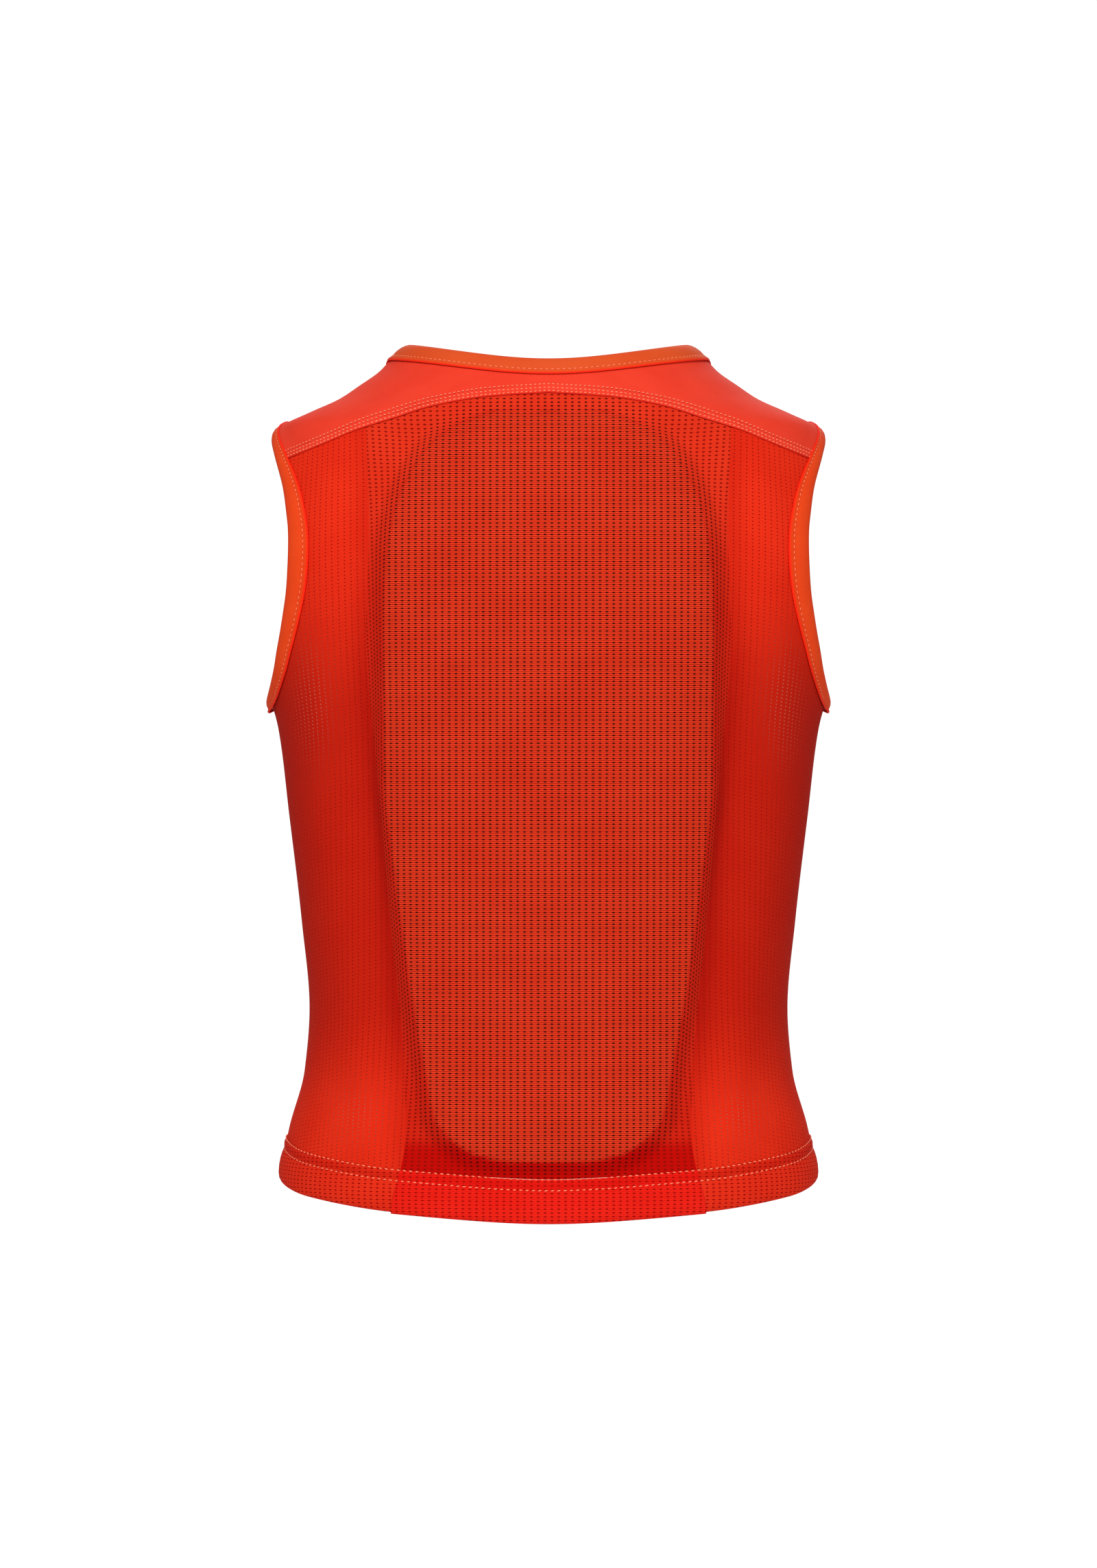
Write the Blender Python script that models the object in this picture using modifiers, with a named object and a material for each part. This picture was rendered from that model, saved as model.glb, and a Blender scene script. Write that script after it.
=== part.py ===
"""Zip-front back-protector vest for a child, built as its separate cut pieces and hardware.

Written in millimetres and turned to metres where meshes are made. +Z is up, +Y is the wearer's front and
+X the wearer's right. Heights are counted from the lowest point of the hem, and the origin is put on the
shoulders, which carry the vest.
"""

from math import atan2, cos, degrees, radians, sin

import bmesh
import bpy
from mathutils import Vector

MM = 0.001
SHOULDER_HEIGHT = 430.0

# The body inside the vest: level oval sections. Each table pairs a height with a size.
OVAL_POWER = 2.3
HALF_WIDTH = [(-5, 143), (17, 139.5), (43, 134.5), (73, 126.5), (105, 124), (150, 128), (205, 134.5),
              (249, 140), (277, 148.5), (292, 153.5), (313, 158), (334, 160), (356, 156.8), (377, 150),
              (391, 145.6), (400, 142.5), (406, 138.5), (413, 124.5), (420, 109), (427, 98.5), (434, 88.5),
              (441, 81.5), (449, 70)]
BACK_DEPTH = [(-5, 88), (40, 86.5), (90, 85), (140, 87), (190, 91), (240, 95), (290, 97.5), (340, 95.5),
              (375, 90), (400, 82.5), (419, 73.5), (430, 67), (437, 62), (449, 55)]
FRONT_DEPTH = [(-5, 86), (398, 86), (413, 72), (430, 57), (449, 46)]

# Seams pair a height with a distance from the middle, or the other way round; edges an angle with a height.
SIDE_BACK_SEAM = [(-5, 82), (41, 74), (83, 76), (143, 82), (218, 87.5), (263, 93), (293, 94.5), (343, 93),
                  (410, 93)]
BACK_YOKE_SEAM = [(0, 419), (31, 417), (58.5, 412.5), (78.5, 407), (94, 402), (116, 393.5), (140, 385)]
FRONT_YOKE_SEAM = [(70, 420), (78, 417), (105, 408), (125, 398), (140, 390)]
NECK_TOP = [(90, 448), (105, 441), (123, 428), (135.5, 413), (150.5, 402), (165, 398), (180, 397)]
NECK_LOW = [(90, 439.5), (105, 435), (118, 426), (133.5, 406), (149, 392.5), (165, 388), (180, 387)]
NECK_BACK_TOP = 437.4
NECK_BACK_LOW = 428.6
NECK_SPLIT = 121.0
NECK_CLEAR = 2.2
YOKE_CLEAR = 1.2
HEM_EDGE = [(-45, 4.3), (0, 0), (45, 4.3), (69, 10.5), (90, 17), (120, 16.5), (180, 15.5)]
HEM_BAND = 21.5

# The armhole is an oval in side view, fuller below and narrower above, and its binding lies round it.
ARM_BOTTOM = 266.5
ARM_TOP = 401.0
ARM_BACK = 60.5
ARM_FRONT = 59.5
ARM_LOW_POWER = 0.8
ARM_HIGH_POWER = 1.25
ARM_BAND_BELOW = 8.0
ARM_BAND_ABOVE = 7.5
ARM_BAND_ASIDE = 8.5

# Cloth and foam.
KNIT = 1.2
BAND = 2.6
BAND_PROUD = 0.6
SEAM_GAP = 0.4
PAD_OUTLINE = [(30, 20), (34, 38), (43, 51), (54, 59), (72, 62), (100, 67.5), (140, 73.5), (185, 79.5),
               (222, 83.3), (298, 83.3), (335, 82), (362, 77), (385, 66), (398, 54), (406, 39), (409.5, 27)]
PAD_ROWS = [30, 34, 39, 43, 48, 58, 72, 90, 110, 135, 160, 185, 210, 235, 260, 285, 310, 335, 355, 372, 386,
            396, 403, 409.5]
PAD_BOTTOM = 30.0
PAD_TOP = 409.5
PAD_BEVEL = 9.0
SHELL_OUTSIDE = -2.0
SHELL_EDGE = -5.0
SHELL_INSIDE = -11.0
COMFORT_OUTSIDE = -11.5
COMFORT_INSIDE = -16.5
COMFORT_INSET = 6.0
LINING = 1.0
LINING_EDGE = -12.3
LINING_MIDDLE = -17.4
LINING_BOTTOM = 24.5
LINING_TOP = 422.0

# Front opening and zip. The chain and its tapes lie in one plane.
FRONT_SEAM = 78.0
ZIP_EDGE = 7.0
CHAIN_Y = 82.8
CHAIN_THICK = 2.4
CHAIN_TOP = 393.0
CHAIN_BOTTOM_LEFT = 33.0
CHAIN_BOTTOM_RIGHT = 24.6
CHAIN_OUTER = 3.1
CHAIN_ROOT = 2.2
TOOTH_TIP = 0.65
TOOTH_PITCH = 5.0
TOOTH_HIGH = 2.2
TAPE_THICK = 0.8
TAPE_INNER = 3.4
TAPE_OUTER = 16.0
TAPE_BOTTOM = 25.0
TAPE_TOP = 396.0
SLIDER_Z = 387.0
SLIDER_LONG = 10.0
SLIDER_WIDE = 10.0
PLATE = 1.4
CHANNEL = 3.2
TAB_PIVOT_Y = CHAIN_Y + CHANNEL / 2 + PLATE + 1.4

# Pocket flap, hung from its top edge inside the lining.
FLAP_TOP = 98.0
FLAP_DROP = 38.0
FLAP_HALF = 45.0
STRIP_HIGH = 16.0

for old in list(bpy.data.objects):
    bpy.data.objects.remove(old, do_unlink=True)

vest = bpy.data.collections.new("back_protector_vest")
bpy.context.scene.collection.children.link(vest)
cutters = bpy.data.collections.new("cutters")
bpy.context.scene.collection.children.link(cutters)


# --- curves and the body's surface ---

def knot_slope(table, k):
    """The slope of the smooth curve at one of its knots, flat where the curve turns."""
    beside = list(zip(table, table[1:]))[max(k - 1, 0):k + 1]
    steps = [(b[1] - a[1]) / (b[0] - a[0]) for a, b in beside]
    if len(steps) == 1:
        return steps[0]
    if steps[0] * steps[1] <= 0:
        return 0.0
    return 2 * steps[0] * steps[1] / (steps[0] + steps[1])


def smooth(table, at):
    """Reads a table of pairs as one smooth curve."""
    if at <= table[0][0]:
        return table[0][1]
    if at >= table[-1][0]:
        return table[-1][1]
    i = next(k for k in range(len(table) - 1) if at <= table[k + 1][0])
    (x0, y0), (x1, y1) = table[i], table[i + 1]
    t = (at - x0) / (x1 - x0)
    rise = (x1 - x0) * t * (1 - t)
    bend = knot_slope(table, i) * (1 - t) - knot_slope(table, i + 1) * t
    return y0 * (1 + 2 * t) * (1 - t) ** 2 + y1 * t * t * (3 - 2 * t) + rise * bend


def oval(angle, height):
    """A point on the body's oval. The angle runs from the back's middle (0) over +X (90) to the front."""
    turn = radians(angle)
    wide = smooth(HALF_WIDTH, height)
    deep = smooth(BACK_DEPTH if cos(turn) > 0 else FRONT_DEPTH, height)
    total = abs(sin(turn) / wide) ** OVAL_POWER + abs(cos(turn) / deep) ** OVAL_POWER
    reach = total ** (-1 / OVAL_POWER)
    return Vector((reach * sin(turn), -reach * cos(turn), height))


def surface(angle, height, lift=0.0):
    """The point on the body's surface, moved outward by lift."""
    along = oval(angle + 0.5, height) - oval(angle - 0.5, height)
    up = oval(angle, height + 0.5) - oval(angle, height - 0.5)
    return oval(angle, height) + along.cross(up).normalized() * lift


def share(part, whole):
    return max(1 - abs(part / whole) ** OVAL_POWER, 0.0) ** (1 / OVAL_POWER)


def back_at(x, height):
    """The angle and height of the back's point at x."""
    deep = smooth(BACK_DEPTH, height) * share(x, smooth(HALF_WIDTH, height))
    return degrees(atan2(x, deep)), height


def front_at(x, height):
    deep = smooth(FRONT_DEPTH, height) * share(x, smooth(HALF_WIDTH, height))
    return degrees(atan2(x, -deep)), height


def side_at(y, height):
    wide = smooth(HALF_WIDTH, height) * share(y, smooth(FRONT_DEPTH if y > 0 else BACK_DEPTH, height))
    return degrees(atan2(wide, -y)), height


def hem_edge(angle):
    return smooth(HEM_EDGE, abs(angle))


def neck_edge(angle, front, back_middle):
    """The height of a neck edge: a shallow dip across the back, and the front's own curve."""
    if abs(angle) >= 90:
        return smooth(front, abs(angle))
    return back_middle + (front[0][1] - back_middle) * sin(radians(angle)) ** 2


def neck_top(angle):
    return neck_edge(angle, NECK_TOP, NECK_BACK_TOP)


def neck_low(angle):
    return neck_edge(angle, NECK_LOW, NECK_BACK_LOW)


def arm_edge(turn, grow=0.0):
    """A point of the +X armhole. It turns from the underarm (0) up the back (90) to the shoulder (180)."""
    bottom = ARM_BOTTOM - ARM_BAND_BELOW * grow
    top = ARM_TOP + ARM_BAND_ABOVE * grow
    reach = (ARM_BACK if turn % 360 < 180 else ARM_FRONT) + ARM_BAND_ASIDE * grow
    height = (bottom + top) / 2 - (top - bottom) / 2 * cos(radians(turn))
    power = ARM_LOW_POWER if cos(radians(turn)) > 0 else ARM_HIGH_POWER
    swing = sin(radians(turn))
    share = abs(swing) ** power * (1 if swing > 0 else -1)
    return side_at(-reach * share, height)


def yoke_turn(seam, low, drop=0.0):
    """Where round the armhole its binding's outer edge crosses a yoke seam, or a line below it."""
    high = 180.0
    for _ in range(30):
        turn = (low + high) / 2
        angle, height = arm_edge(turn, 1.0)
        if height < smooth(seam, oval(angle, height).x) - drop:
            low = turn
        else:
            high = turn
    return turn


BACK_TURN = yoke_turn(BACK_YOKE_SEAM, 90.0)
FRONT_TURN = yoke_turn(FRONT_YOKE_SEAM, 270.0)
BACK_YOKE_X = oval(*arm_edge(BACK_TURN, 1.0)).x
FRONT_YOKE_X = oval(*arm_edge(FRONT_TURN, 1.0)).x
FRONT_PANEL_TURN = yoke_turn(FRONT_YOKE_SEAM, 270.0, YOKE_CLEAR)
FRONT_PANEL_X = oval(*arm_edge(FRONT_PANEL_TURN, 1.0)).x


# --- meshes ---

def mix(a, b, t):
    return a[0] + (b[0] - a[0]) * t, a[1] + (b[1] - a[1]) * t


def trimmed(t, a, b):
    """Moves t from both ends by the seam gap, on a line from a to b."""
    gap = SEAM_GAP / 2 / max((surface(*a) - surface(*b)).length, 4 * SEAM_GAP)
    return gap + (1 - 2 * gap) * t


def four_sided(bottom, top, left, right, across, up):
    """A grid of (angle, height) between four edge curves, each read from 0 to 1, short of its seams."""
    rows = []
    for j in range(up + 1):
        row = []
        for i in range(across + 1):
            u = trimmed(i / across, left(j / up), right(j / up))
            v = trimmed(j / up, bottom(i / across), top(i / across))
            ends = mix(mix(bottom(0), bottom(1), u), mix(top(0), top(1), u), v)
            ruled = [mix(bottom(u), top(u), v)[k] + mix(left(v), right(v), u)[k] for k in (0, 1)]
            row.append((ruled[0] - ends[0], ruled[1] - ends[1]))
        rows.append(row)
    return rows


def mirrored(rows):
    return [[(-angle, height) for angle, height in reversed(row)] for row in rows]


def finish(obj, colour, roughness, metallic=0.0):
    """Puts the object in the vest's collection with a material of its own."""
    material = bpy.data.materials.new(obj.name + "_material")
    material.use_nodes = True
    shader = material.node_tree.nodes["Principled BSDF"]
    shader.inputs["Base Color"].default_value = (*colour, 1.0)
    shader.inputs["Roughness"].default_value = roughness
    shader.inputs["Metallic"].default_value = metallic
    obj.data.materials.clear()
    obj.data.materials.append(material)
    for collection in list(obj.users_collection):
        collection.objects.unlink(obj)
    vest.objects.link(obj)
    return obj


def to_world(point):
    return Vector((point.x, point.y, point.z - SHOULDER_HEIGHT)) * MM


def open_mesh(name, points, closed=False):
    """A smooth-shaded object from rows of points. Each row runs with the angle and the rows run upward."""
    form = bmesh.new()
    verts = [[form.verts.new(to_world(p)) for p in row] for row in points]
    wide = len(points[0])
    for j in range(len(points) - 1):
        for i in range(wide if closed else wide - 1):
            k = (i + 1) % wide
            form.faces.new((verts[j][i], verts[j][k], verts[j + 1][k], verts[j + 1][i]))
    mesh = bpy.data.meshes.new(name)
    form.to_mesh(mesh)
    form.free()
    mesh.shade_smooth()
    return bpy.data.objects.new(name, mesh)


def cloth(name, rows, thick, colour, lift=0.0, closed=False, crown=0.0, roughness=0.85):
    """A piece of cloth on the body's surface. A crown lifts the rows between the first and the last."""
    points = []
    for j, row in enumerate(rows):
        raised = crown if 0 < j < len(rows) - 1 else 0.0
        points.append([surface(a, h, (lift(a, h) if callable(lift) else lift) + raised) for a, h in row])
    obj = open_mesh(name, points, closed)
    solid = obj.modifiers.new("thickness", "SOLIDIFY")
    solid.thickness = thick * MM
    solid.offset = -1
    return finish(obj, colour, roughness)


def slab(name, outside, inside, colour, roughness=0.7):
    """A closed solid between two faces given as rows of points."""
    obj = open_mesh(name, outside)
    form = bmesh.new()
    form.from_mesh(obj.data)
    form.verts.ensure_lookup_table()
    tall, wide = len(outside), len(outside[0])
    outer = [[form.verts[j * wide + i] for i in range(wide)] for j in range(tall)]
    inner = [[form.verts.new(to_world(p)) for p in row] for row in inside]
    for j in range(tall - 1):
        for i in range(wide - 1):
            form.faces.new((inner[j][i], inner[j + 1][i], inner[j + 1][i + 1], inner[j][i + 1]))
    rim = [(0, i) for i in range(wide)] + [(j, wide - 1) for j in range(1, tall)]
    rim += [(tall - 1, i) for i in range(wide - 2, -1, -1)] + [(j, 0) for j in range(tall - 2, 0, -1)]
    for (j, i), (m, n) in zip(rim, rim[1:] + rim[:1]):
        form.faces.new((outer[m][n], outer[j][i], inner[j][i], inner[m][n]))
    bmesh.ops.recalc_face_normals(form, faces=form.faces)
    form.to_mesh(obj.data)
    form.free()
    return finish(obj, colour, roughness)


def block(name, low, high, colour, roughness=0.5, metallic=0.0, bevel=0.0, origin=None):
    """A box between two corners, its edges rounded where a bevel is given."""
    low, high = to_world(Vector(low)), to_world(Vector(high))
    form = bmesh.new()
    bmesh.ops.create_cube(form, size=1.0)
    bmesh.ops.scale(form, vec=high - low, verts=form.verts)
    centre = (low + high) / 2
    start = to_world(Vector(origin)) if origin else centre
    bmesh.ops.translate(form, vec=centre - start, verts=form.verts)
    mesh = bpy.data.meshes.new(name)
    form.to_mesh(mesh)
    form.free()
    obj = bpy.data.objects.new(name, mesh)
    obj.location = start
    if bevel:
        rounded = obj.modifiers.new("rounded", "BEVEL")
        rounded.width = bevel * MM
        rounded.segments = 2
    return finish(obj, colour, roughness, metallic)


def guide(obj):
    """Turns an object into a hidden helper for a Boolean."""
    for collection in list(obj.users_collection):
        collection.objects.unlink(obj)
    cutters.objects.link(obj)
    obj.hide_render = True
    obj.display_type = "WIRE"
    return obj


def combine(obj, other, operation):
    step = obj.modifiers.new(operation.lower(), "BOOLEAN")
    step.operation = operation
    step.solver = "EXACT"
    step.object = guide(other)


def plate(name, loop, thick, place, colour, roughness=0.5, metallic=0.0):
    """A flat plate: one closed outline in x and z, made thick about the plane y = 0 of its place."""
    form = bmesh.new()
    face = form.faces.new([form.verts.new(Vector((x, -thick / 2, z)) * MM) for x, z in loop])
    grown = bmesh.ops.extrude_face_region(form, geom=[face])["geom"]
    far = [v for v in grown if isinstance(v, bmesh.types.BMVert)]
    bmesh.ops.translate(form, vec=(0, thick * MM, 0), verts=far)
    bmesh.ops.recalc_face_normals(form, faces=form.faces)
    mesh = bpy.data.meshes.new(name)
    form.to_mesh(mesh)
    form.free()
    obj = bpy.data.objects.new(name, mesh)
    obj.location = to_world(Vector(place))
    return finish(obj, colour, roughness, metallic)


# --- colours, linear ---

BLAZE = (0.82, 0.055, 0.022)
MESH = (0.70, 0.040, 0.015)
BINDING = (0.80, 0.090, 0.025)
HEM_RED = (0.78, 0.024, 0.010)
FOAM = (0.035, 0.030, 0.032)
SOFT_FOAM = (0.10, 0.10, 0.105)
TAPE = (0.55, 0.030, 0.012)
ZIP_METAL = (0.55, 0.55, 0.57)
LABEL = (0.80, 0.80, 0.78)


# --- cloth panels ---

def seam_curve(seam, low, high, at=back_at):
    """A seam read upward, for an edge of a panel."""
    return lambda t: at(smooth(seam, low + (high - low) * t), low + (high - low) * t)


def hem_line(start, end, rise=HEM_BAND):
    """The top of the hem band between two angles, or its edge where the rise is nothing."""
    return lambda t: (start + (end - start) * t, hem_edge(start + (end - start) * t) + rise)


def seam_foot(rise):
    """The angle at which the side-back seam meets the hem band's top or its edge."""
    height = HEM_EDGE[2][1] + rise
    return back_at(smooth(SIDE_BACK_SEAM, height), height)[0]


def front_foot(x, rise):
    return front_at(x, HEM_EDGE[-1][1] + rise)[0]


def yoke_line(seam, start, end, at, drop=0.0):
    return lambda t: at(start + (end - start) * t, smooth(seam, abs(start + (end - start) * t)) - drop)


def joined(first, second, corner):
    """Two edge curves end to end, meeting at the given share of the whole."""
    return lambda t: first(t / corner) if t <= corner else second((t - corner) / (1 - corner))


def side_seam(low, high):
    return lambda t: (90.0, low + (high - low) * t)


SEAM_FOOT = seam_foot(HEM_BAND)
SEAM_HEAD = 402.3
UNDERARM = ARM_BOTTOM - ARM_BAND_BELOW
SIDE_ROWS = 18
SIDE_CORNER = 10 / SIDE_ROWS


def make_back_centre():
    foot = SEAM_FOOT
    seam = seam_curve(SIDE_BACK_SEAM, hem_edge(foot) + HEM_BAND, SEAM_HEAD)
    rows = four_sided(hem_line(-foot, foot), yoke_line(BACK_YOKE_SEAM, -93, 93, back_at),
                      lambda t: (-seam(t)[0], seam(t)[1]), seam, 14, 18)
    cloth("back_centre_panel", rows, KNIT, MESH)


def make_sides():
    low = hem_edge(90) + HEM_BAND
    seam = seam_curve(SIDE_BACK_SEAM, hem_edge(SEAM_FOOT) + HEM_BAND, SEAM_HEAD)
    armhole = joined(side_seam(low, UNDERARM), lambda t: arm_edge(BACK_TURN * t, 1.0), SIDE_CORNER)
    back = four_sided(hem_line(SEAM_FOOT, 90), yoke_line(BACK_YOKE_SEAM, 93, BACK_YOKE_X, back_at),
                      seam, armhole, 6, SIDE_ROWS)
    foot = front_foot(FRONT_SEAM, HEM_BAND)
    front_seam = seam_curve([(0, FRONT_SEAM + SEAM_GAP)], hem_edge(foot) + HEM_BAND,
                            smooth(FRONT_YOKE_SEAM, FRONT_SEAM) - YOKE_CLEAR, front_at)
    armhole = joined(side_seam(low, UNDERARM), lambda t: arm_edge(360 - (360 - FRONT_PANEL_TURN) * t, 1.0),
                     SIDE_CORNER)
    front = four_sided(hem_line(90, foot),
                       yoke_line(FRONT_YOKE_SEAM, FRONT_PANEL_X, FRONT_SEAM, front_at, YOKE_CLEAR),
                       armhole, front_seam, 6, SIDE_ROWS)
    cloth("side_back_panel_right", back, KNIT, MESH)
    cloth("side_back_panel_left", mirrored(back), KNIT, MESH)
    cloth("side_front_panel_right", front, KNIT, MESH)
    cloth("side_front_panel_left", mirrored(front), KNIT, MESH)


def make_fronts():
    foot, inner_foot = front_foot(FRONT_SEAM, HEM_BAND), front_foot(ZIP_EDGE, HEM_BAND)
    straight = [(0, FRONT_SEAM - SEAM_GAP)]
    by_zip = [(0, ZIP_EDGE)]
    head = front_at(FRONT_SEAM, 426)[0]
    inner_head = front_at(ZIP_EDGE, NECK_LOW[-1][1])[0]
    rows = four_sided(hem_line(foot, inner_foot),
                      lambda t: (head + (inner_head - head) * t,
                                 neck_low(head + (inner_head - head) * t) - NECK_CLEAR),
                      seam_curve(straight, hem_edge(foot) + HEM_BAND, neck_low(head) - NECK_CLEAR, front_at),
                      seam_curve(by_zip, hem_edge(inner_foot) + HEM_BAND,
                                 neck_low(inner_head) - NECK_CLEAR, front_at),
                      12, 16)
    cloth("front_panel_right", rows, KNIT, MESH)
    cloth("front_panel_left", mirrored(rows), KNIT, MESH)


def make_yoke():
    """One piece round the back of the neck and over both shoulders."""
    outer, inner = [], []

    def stretch(curve, count, start, end):
        for k in range(count):
            outer.append(curve(k / count))
            angle = start + (end - start) * k / count
            inner.append((angle, neck_low(angle)))

    stretch(yoke_line(BACK_YOKE_SEAM, 0, BACK_YOKE_X, back_at), 8, 0, 62)
    stretch(lambda t: arm_edge(BACK_TURN + (FRONT_TURN - BACK_TURN) * t, 1.0), 7, 62, 100)
    end = FRONT_SEAM + SEAM_GAP
    stretch(yoke_line(FRONT_YOKE_SEAM, FRONT_YOKE_X, end, front_at), 6, 100, 117)
    outer.append(front_at(end, smooth(FRONT_YOKE_SEAM, end)))
    inner.append((117.0, neck_low(117)))
    outer = [(-a, h) for a, h in reversed(outer[1:])] + outer
    inner = [(-a, h) for a, h in reversed(inner[1:])] + inner
    rows = [[mix(a, b, trimmed(j / 4, a, b)) for a, b in zip(outer, inner)] for j in range(5)]
    cloth("shoulder_yoke", rows, KNIT, BLAZE, roughness=0.6)


# --- bindings and hem ---

def band_rows(low, high, start, end, count):
    """Three rows of a binding, each point keeping its angle."""
    rows = []
    for t in (0.0, 0.5, 1.0):
        row = []
        for k in range(count + 1):
            a, b = low(start + (end - start) * k / count), high(start + (end - start) * k / count)
            row.append(mix(a, b, trimmed(t, a, b)))
        rows.append(row)
    return rows


def make_bindings():
    def low(angle):
        return angle, neck_low(angle)

    def high(angle):
        return angle, neck_top(angle)

    split = SEAM_GAP / 2
    band = {"thick": BAND, "colour": BINDING, "lift": BAND_PROUD, "crown": 0.5, "roughness": 0.55}
    back = band_rows(low, high, -NECK_SPLIT + split, NECK_SPLIT - split, 30)
    cloth("neck_binding_back", back, **band)
    front = band_rows(low, high, NECK_SPLIT + split, front_at(ZIP_EDGE, NECK_LOW[-1][1])[0], 12)
    cloth("neck_binding_front_right", front, **band)
    cloth("neck_binding_front_left", mirrored(front), **band)
    around = 32
    ring = band_rows(lambda turn: arm_edge(turn, 1.0), arm_edge, 0, 360, around)
    ring = [row[:-1] for row in ring]
    cloth("armhole_binding_right", ring, closed=True, **band)
    cloth("armhole_binding_left", mirrored(ring), closed=True, **band)


def hem_rows(edges, across):
    """The hem band between two seams, given as the angles of each at the hem's edge and its top."""
    (low_start, high_start), (low_end, high_end) = edges
    bottom, top = hem_line(low_start, low_end, 0.0), hem_line(high_start, high_end)
    return four_sided(bottom, top, lambda t: mix(bottom(0), top(0), t), lambda t: mix(bottom(1), top(1), t),
                      across, 2)


def make_hem():
    back = (seam_foot(0.0), SEAM_FOOT)
    front = (front_foot(FRONT_SEAM, 0.0), front_foot(FRONT_SEAM, HEM_BAND))
    zip_side = (front_foot(ZIP_EDGE, 0.0), front_foot(ZIP_EDGE, HEM_BAND))
    hem = {"thick": BAND, "lift": 0.5, "crown": 0.3}
    cloth("hem_back_centre", hem_rows(((-back[0], -back[1]), back), 14), colour=HEM_RED, **hem)
    side = hem_rows((back, front), 16)
    cloth("hem_side_right", side, colour=BLAZE, **hem)
    cloth("hem_side_left", mirrored(side), colour=BLAZE, **hem)
    by_zip = hem_rows((front, zip_side), 7)
    cloth("hem_front_right", by_zip, colour=BLAZE, **hem)
    cloth("hem_front_left", mirrored(by_zip), colour=BLAZE, **hem)


# --- back plate and its pocket ---

def pad_half(height, inset=0.0):
    return smooth(PAD_OUTLINE, height) - inset


def pad_faces(heights, inset, outside, edge, inside):
    """The outer and inner face of a foam layer. Its rim is lowered from outside to edge over the bevel."""
    outer, inner = [], []
    for j, height in enumerate(heights):
        half = pad_half(height, inset)
        bevel = min(PAD_BEVEL / half, 0.4)
        places = [-1, -1 + bevel, -0.62, -0.31, 0, 0.31, 0.62, 1 - bevel, 1]
        at_end = j in (0, len(heights) - 1)
        lifts = [edge if at_end or abs(p) == 1 else outside for p in places]
        outer.append([surface(*back_at(p * half, height), k) for p, k in zip(places, lifts)])
        inner.append([surface(*back_at(p * half, height), inside) for p in places])
    return outer, inner


def make_back_plate():
    slab("protector_shell_foam", *pad_faces(PAD_ROWS, 0.0, SHELL_OUTSIDE, SHELL_EDGE, SHELL_INSIDE), FOAM)
    low, high = PAD_BOTTOM + COMFORT_INSET, PAD_TOP - COMFORT_INSET
    rows = [low] + [h for h in PAD_ROWS if low + 2 < h < high - 2] + [high]
    slab("protector_comfort_foam",
         *pad_faces(rows, COMFORT_INSET, COMFORT_OUTSIDE, COMFORT_OUTSIDE - 1, COMFORT_INSIDE), SOFT_FOAM)


def make_lining():
    """The inner mesh of the pocket. It stands clear of the back plate's rim and of its middle."""
    slope = COMFORT_INSET - 0.4

    def lift(angle, height):
        x = abs(oval(angle, height).x)
        inside = min(pad_half(height) + LINING - x, PAD_TOP + LINING - height, height - PAD_BOTTOM + LINING)
        return LINING_EDGE + (LINING_MIDDLE - LINING_EDGE) * min(max(inside / slope, 0.0), 1.0)

    ends = PAD_BOTTOM - LINING, PAD_TOP + LINING
    heights = [LINING_BOTTOM, ends[0], ends[0] + slope]
    heights += [h for h in PAD_ROWS if ends[0] + slope + 1 < h < ends[1] - slope - 1]
    heights += [ends[1] - slope, ends[1], LINING_TOP]
    rows = []
    for height in heights:
        edge = min(smooth(SIDE_BACK_SEAM, height) - 2, 92)
        rim = min(pad_half(height) + LINING, edge - 1)
        half = [0.0, (rim - slope) * 0.4, (rim - slope) * 0.75, rim - slope, rim, edge]
        rows.append([back_at(x, height) for x in [-x for x in reversed(half[1:])] + half])
    cloth("pocket_lining", rows, LINING, MESH, lift)


def make_flap():
    """The flap over the pocket's mouth, with its hook strip, and the loop strip on the lining."""
    deepest = max(surface(*back_at(FLAP_HALF, h), LINING_MIDDLE - LINING).y for h in range(56, 100, 4))
    base = deepest + 1.0
    bottom = FLAP_TOP - FLAP_DROP
    strip_low, strip_high = bottom + 3, bottom + 3 + STRIP_HIGH
    half = FLAP_HALF
    block("lining_loop_strip", (-half, base, strip_low), (half, base + 0.9, strip_high), SOFT_FOAM, 0.9)
    pivot = (0, base + 3.1, FLAP_TOP)
    block("flap_hook_strip", (-half + 2, base + 1.3, strip_low), (half - 2, base + 2.3, strip_high), FOAM,
          0.9, origin=pivot)
    block("pocket_flap", (-half, base + 2.6, bottom), (half, base + 3.6, FLAP_TOP), MESH, 0.85, origin=pivot)


def make_labels():
    label = block("size_label", (-15, -0.25, -12.5), (15, 0.25, 12.5), LABEL, 0.6)
    label.location = to_world(Vector((0, -58, 418)))
    label.rotation_euler = (radians(19.5), 0, 0)
    block("care_label", (-118.5, -13, 60), (-118, 12, 110), LABEL, 0.6)


# --- zip ---

def chain_loop(side, bottom, first):
    """The outline of one half of the chain: a straight root with square teeth towards the middle."""
    loop = [(side * CHAIN_OUTER, CHAIN_TOP), (side * CHAIN_OUTER, bottom)]
    loop.append((side * CHAIN_ROOT, bottom))
    low = first
    while low + TOOTH_HIGH < CHAIN_TOP:
        for x, z in ((CHAIN_ROOT, low), (TOOTH_TIP, low), (TOOTH_TIP, low + TOOTH_HIGH),
                     (CHAIN_ROOT, low + TOOTH_HIGH)):
            loop.append((side * x, z))
        low += TOOTH_PITCH
    loop.append((side * CHAIN_ROOT, CHAIN_TOP))
    return loop


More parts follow.
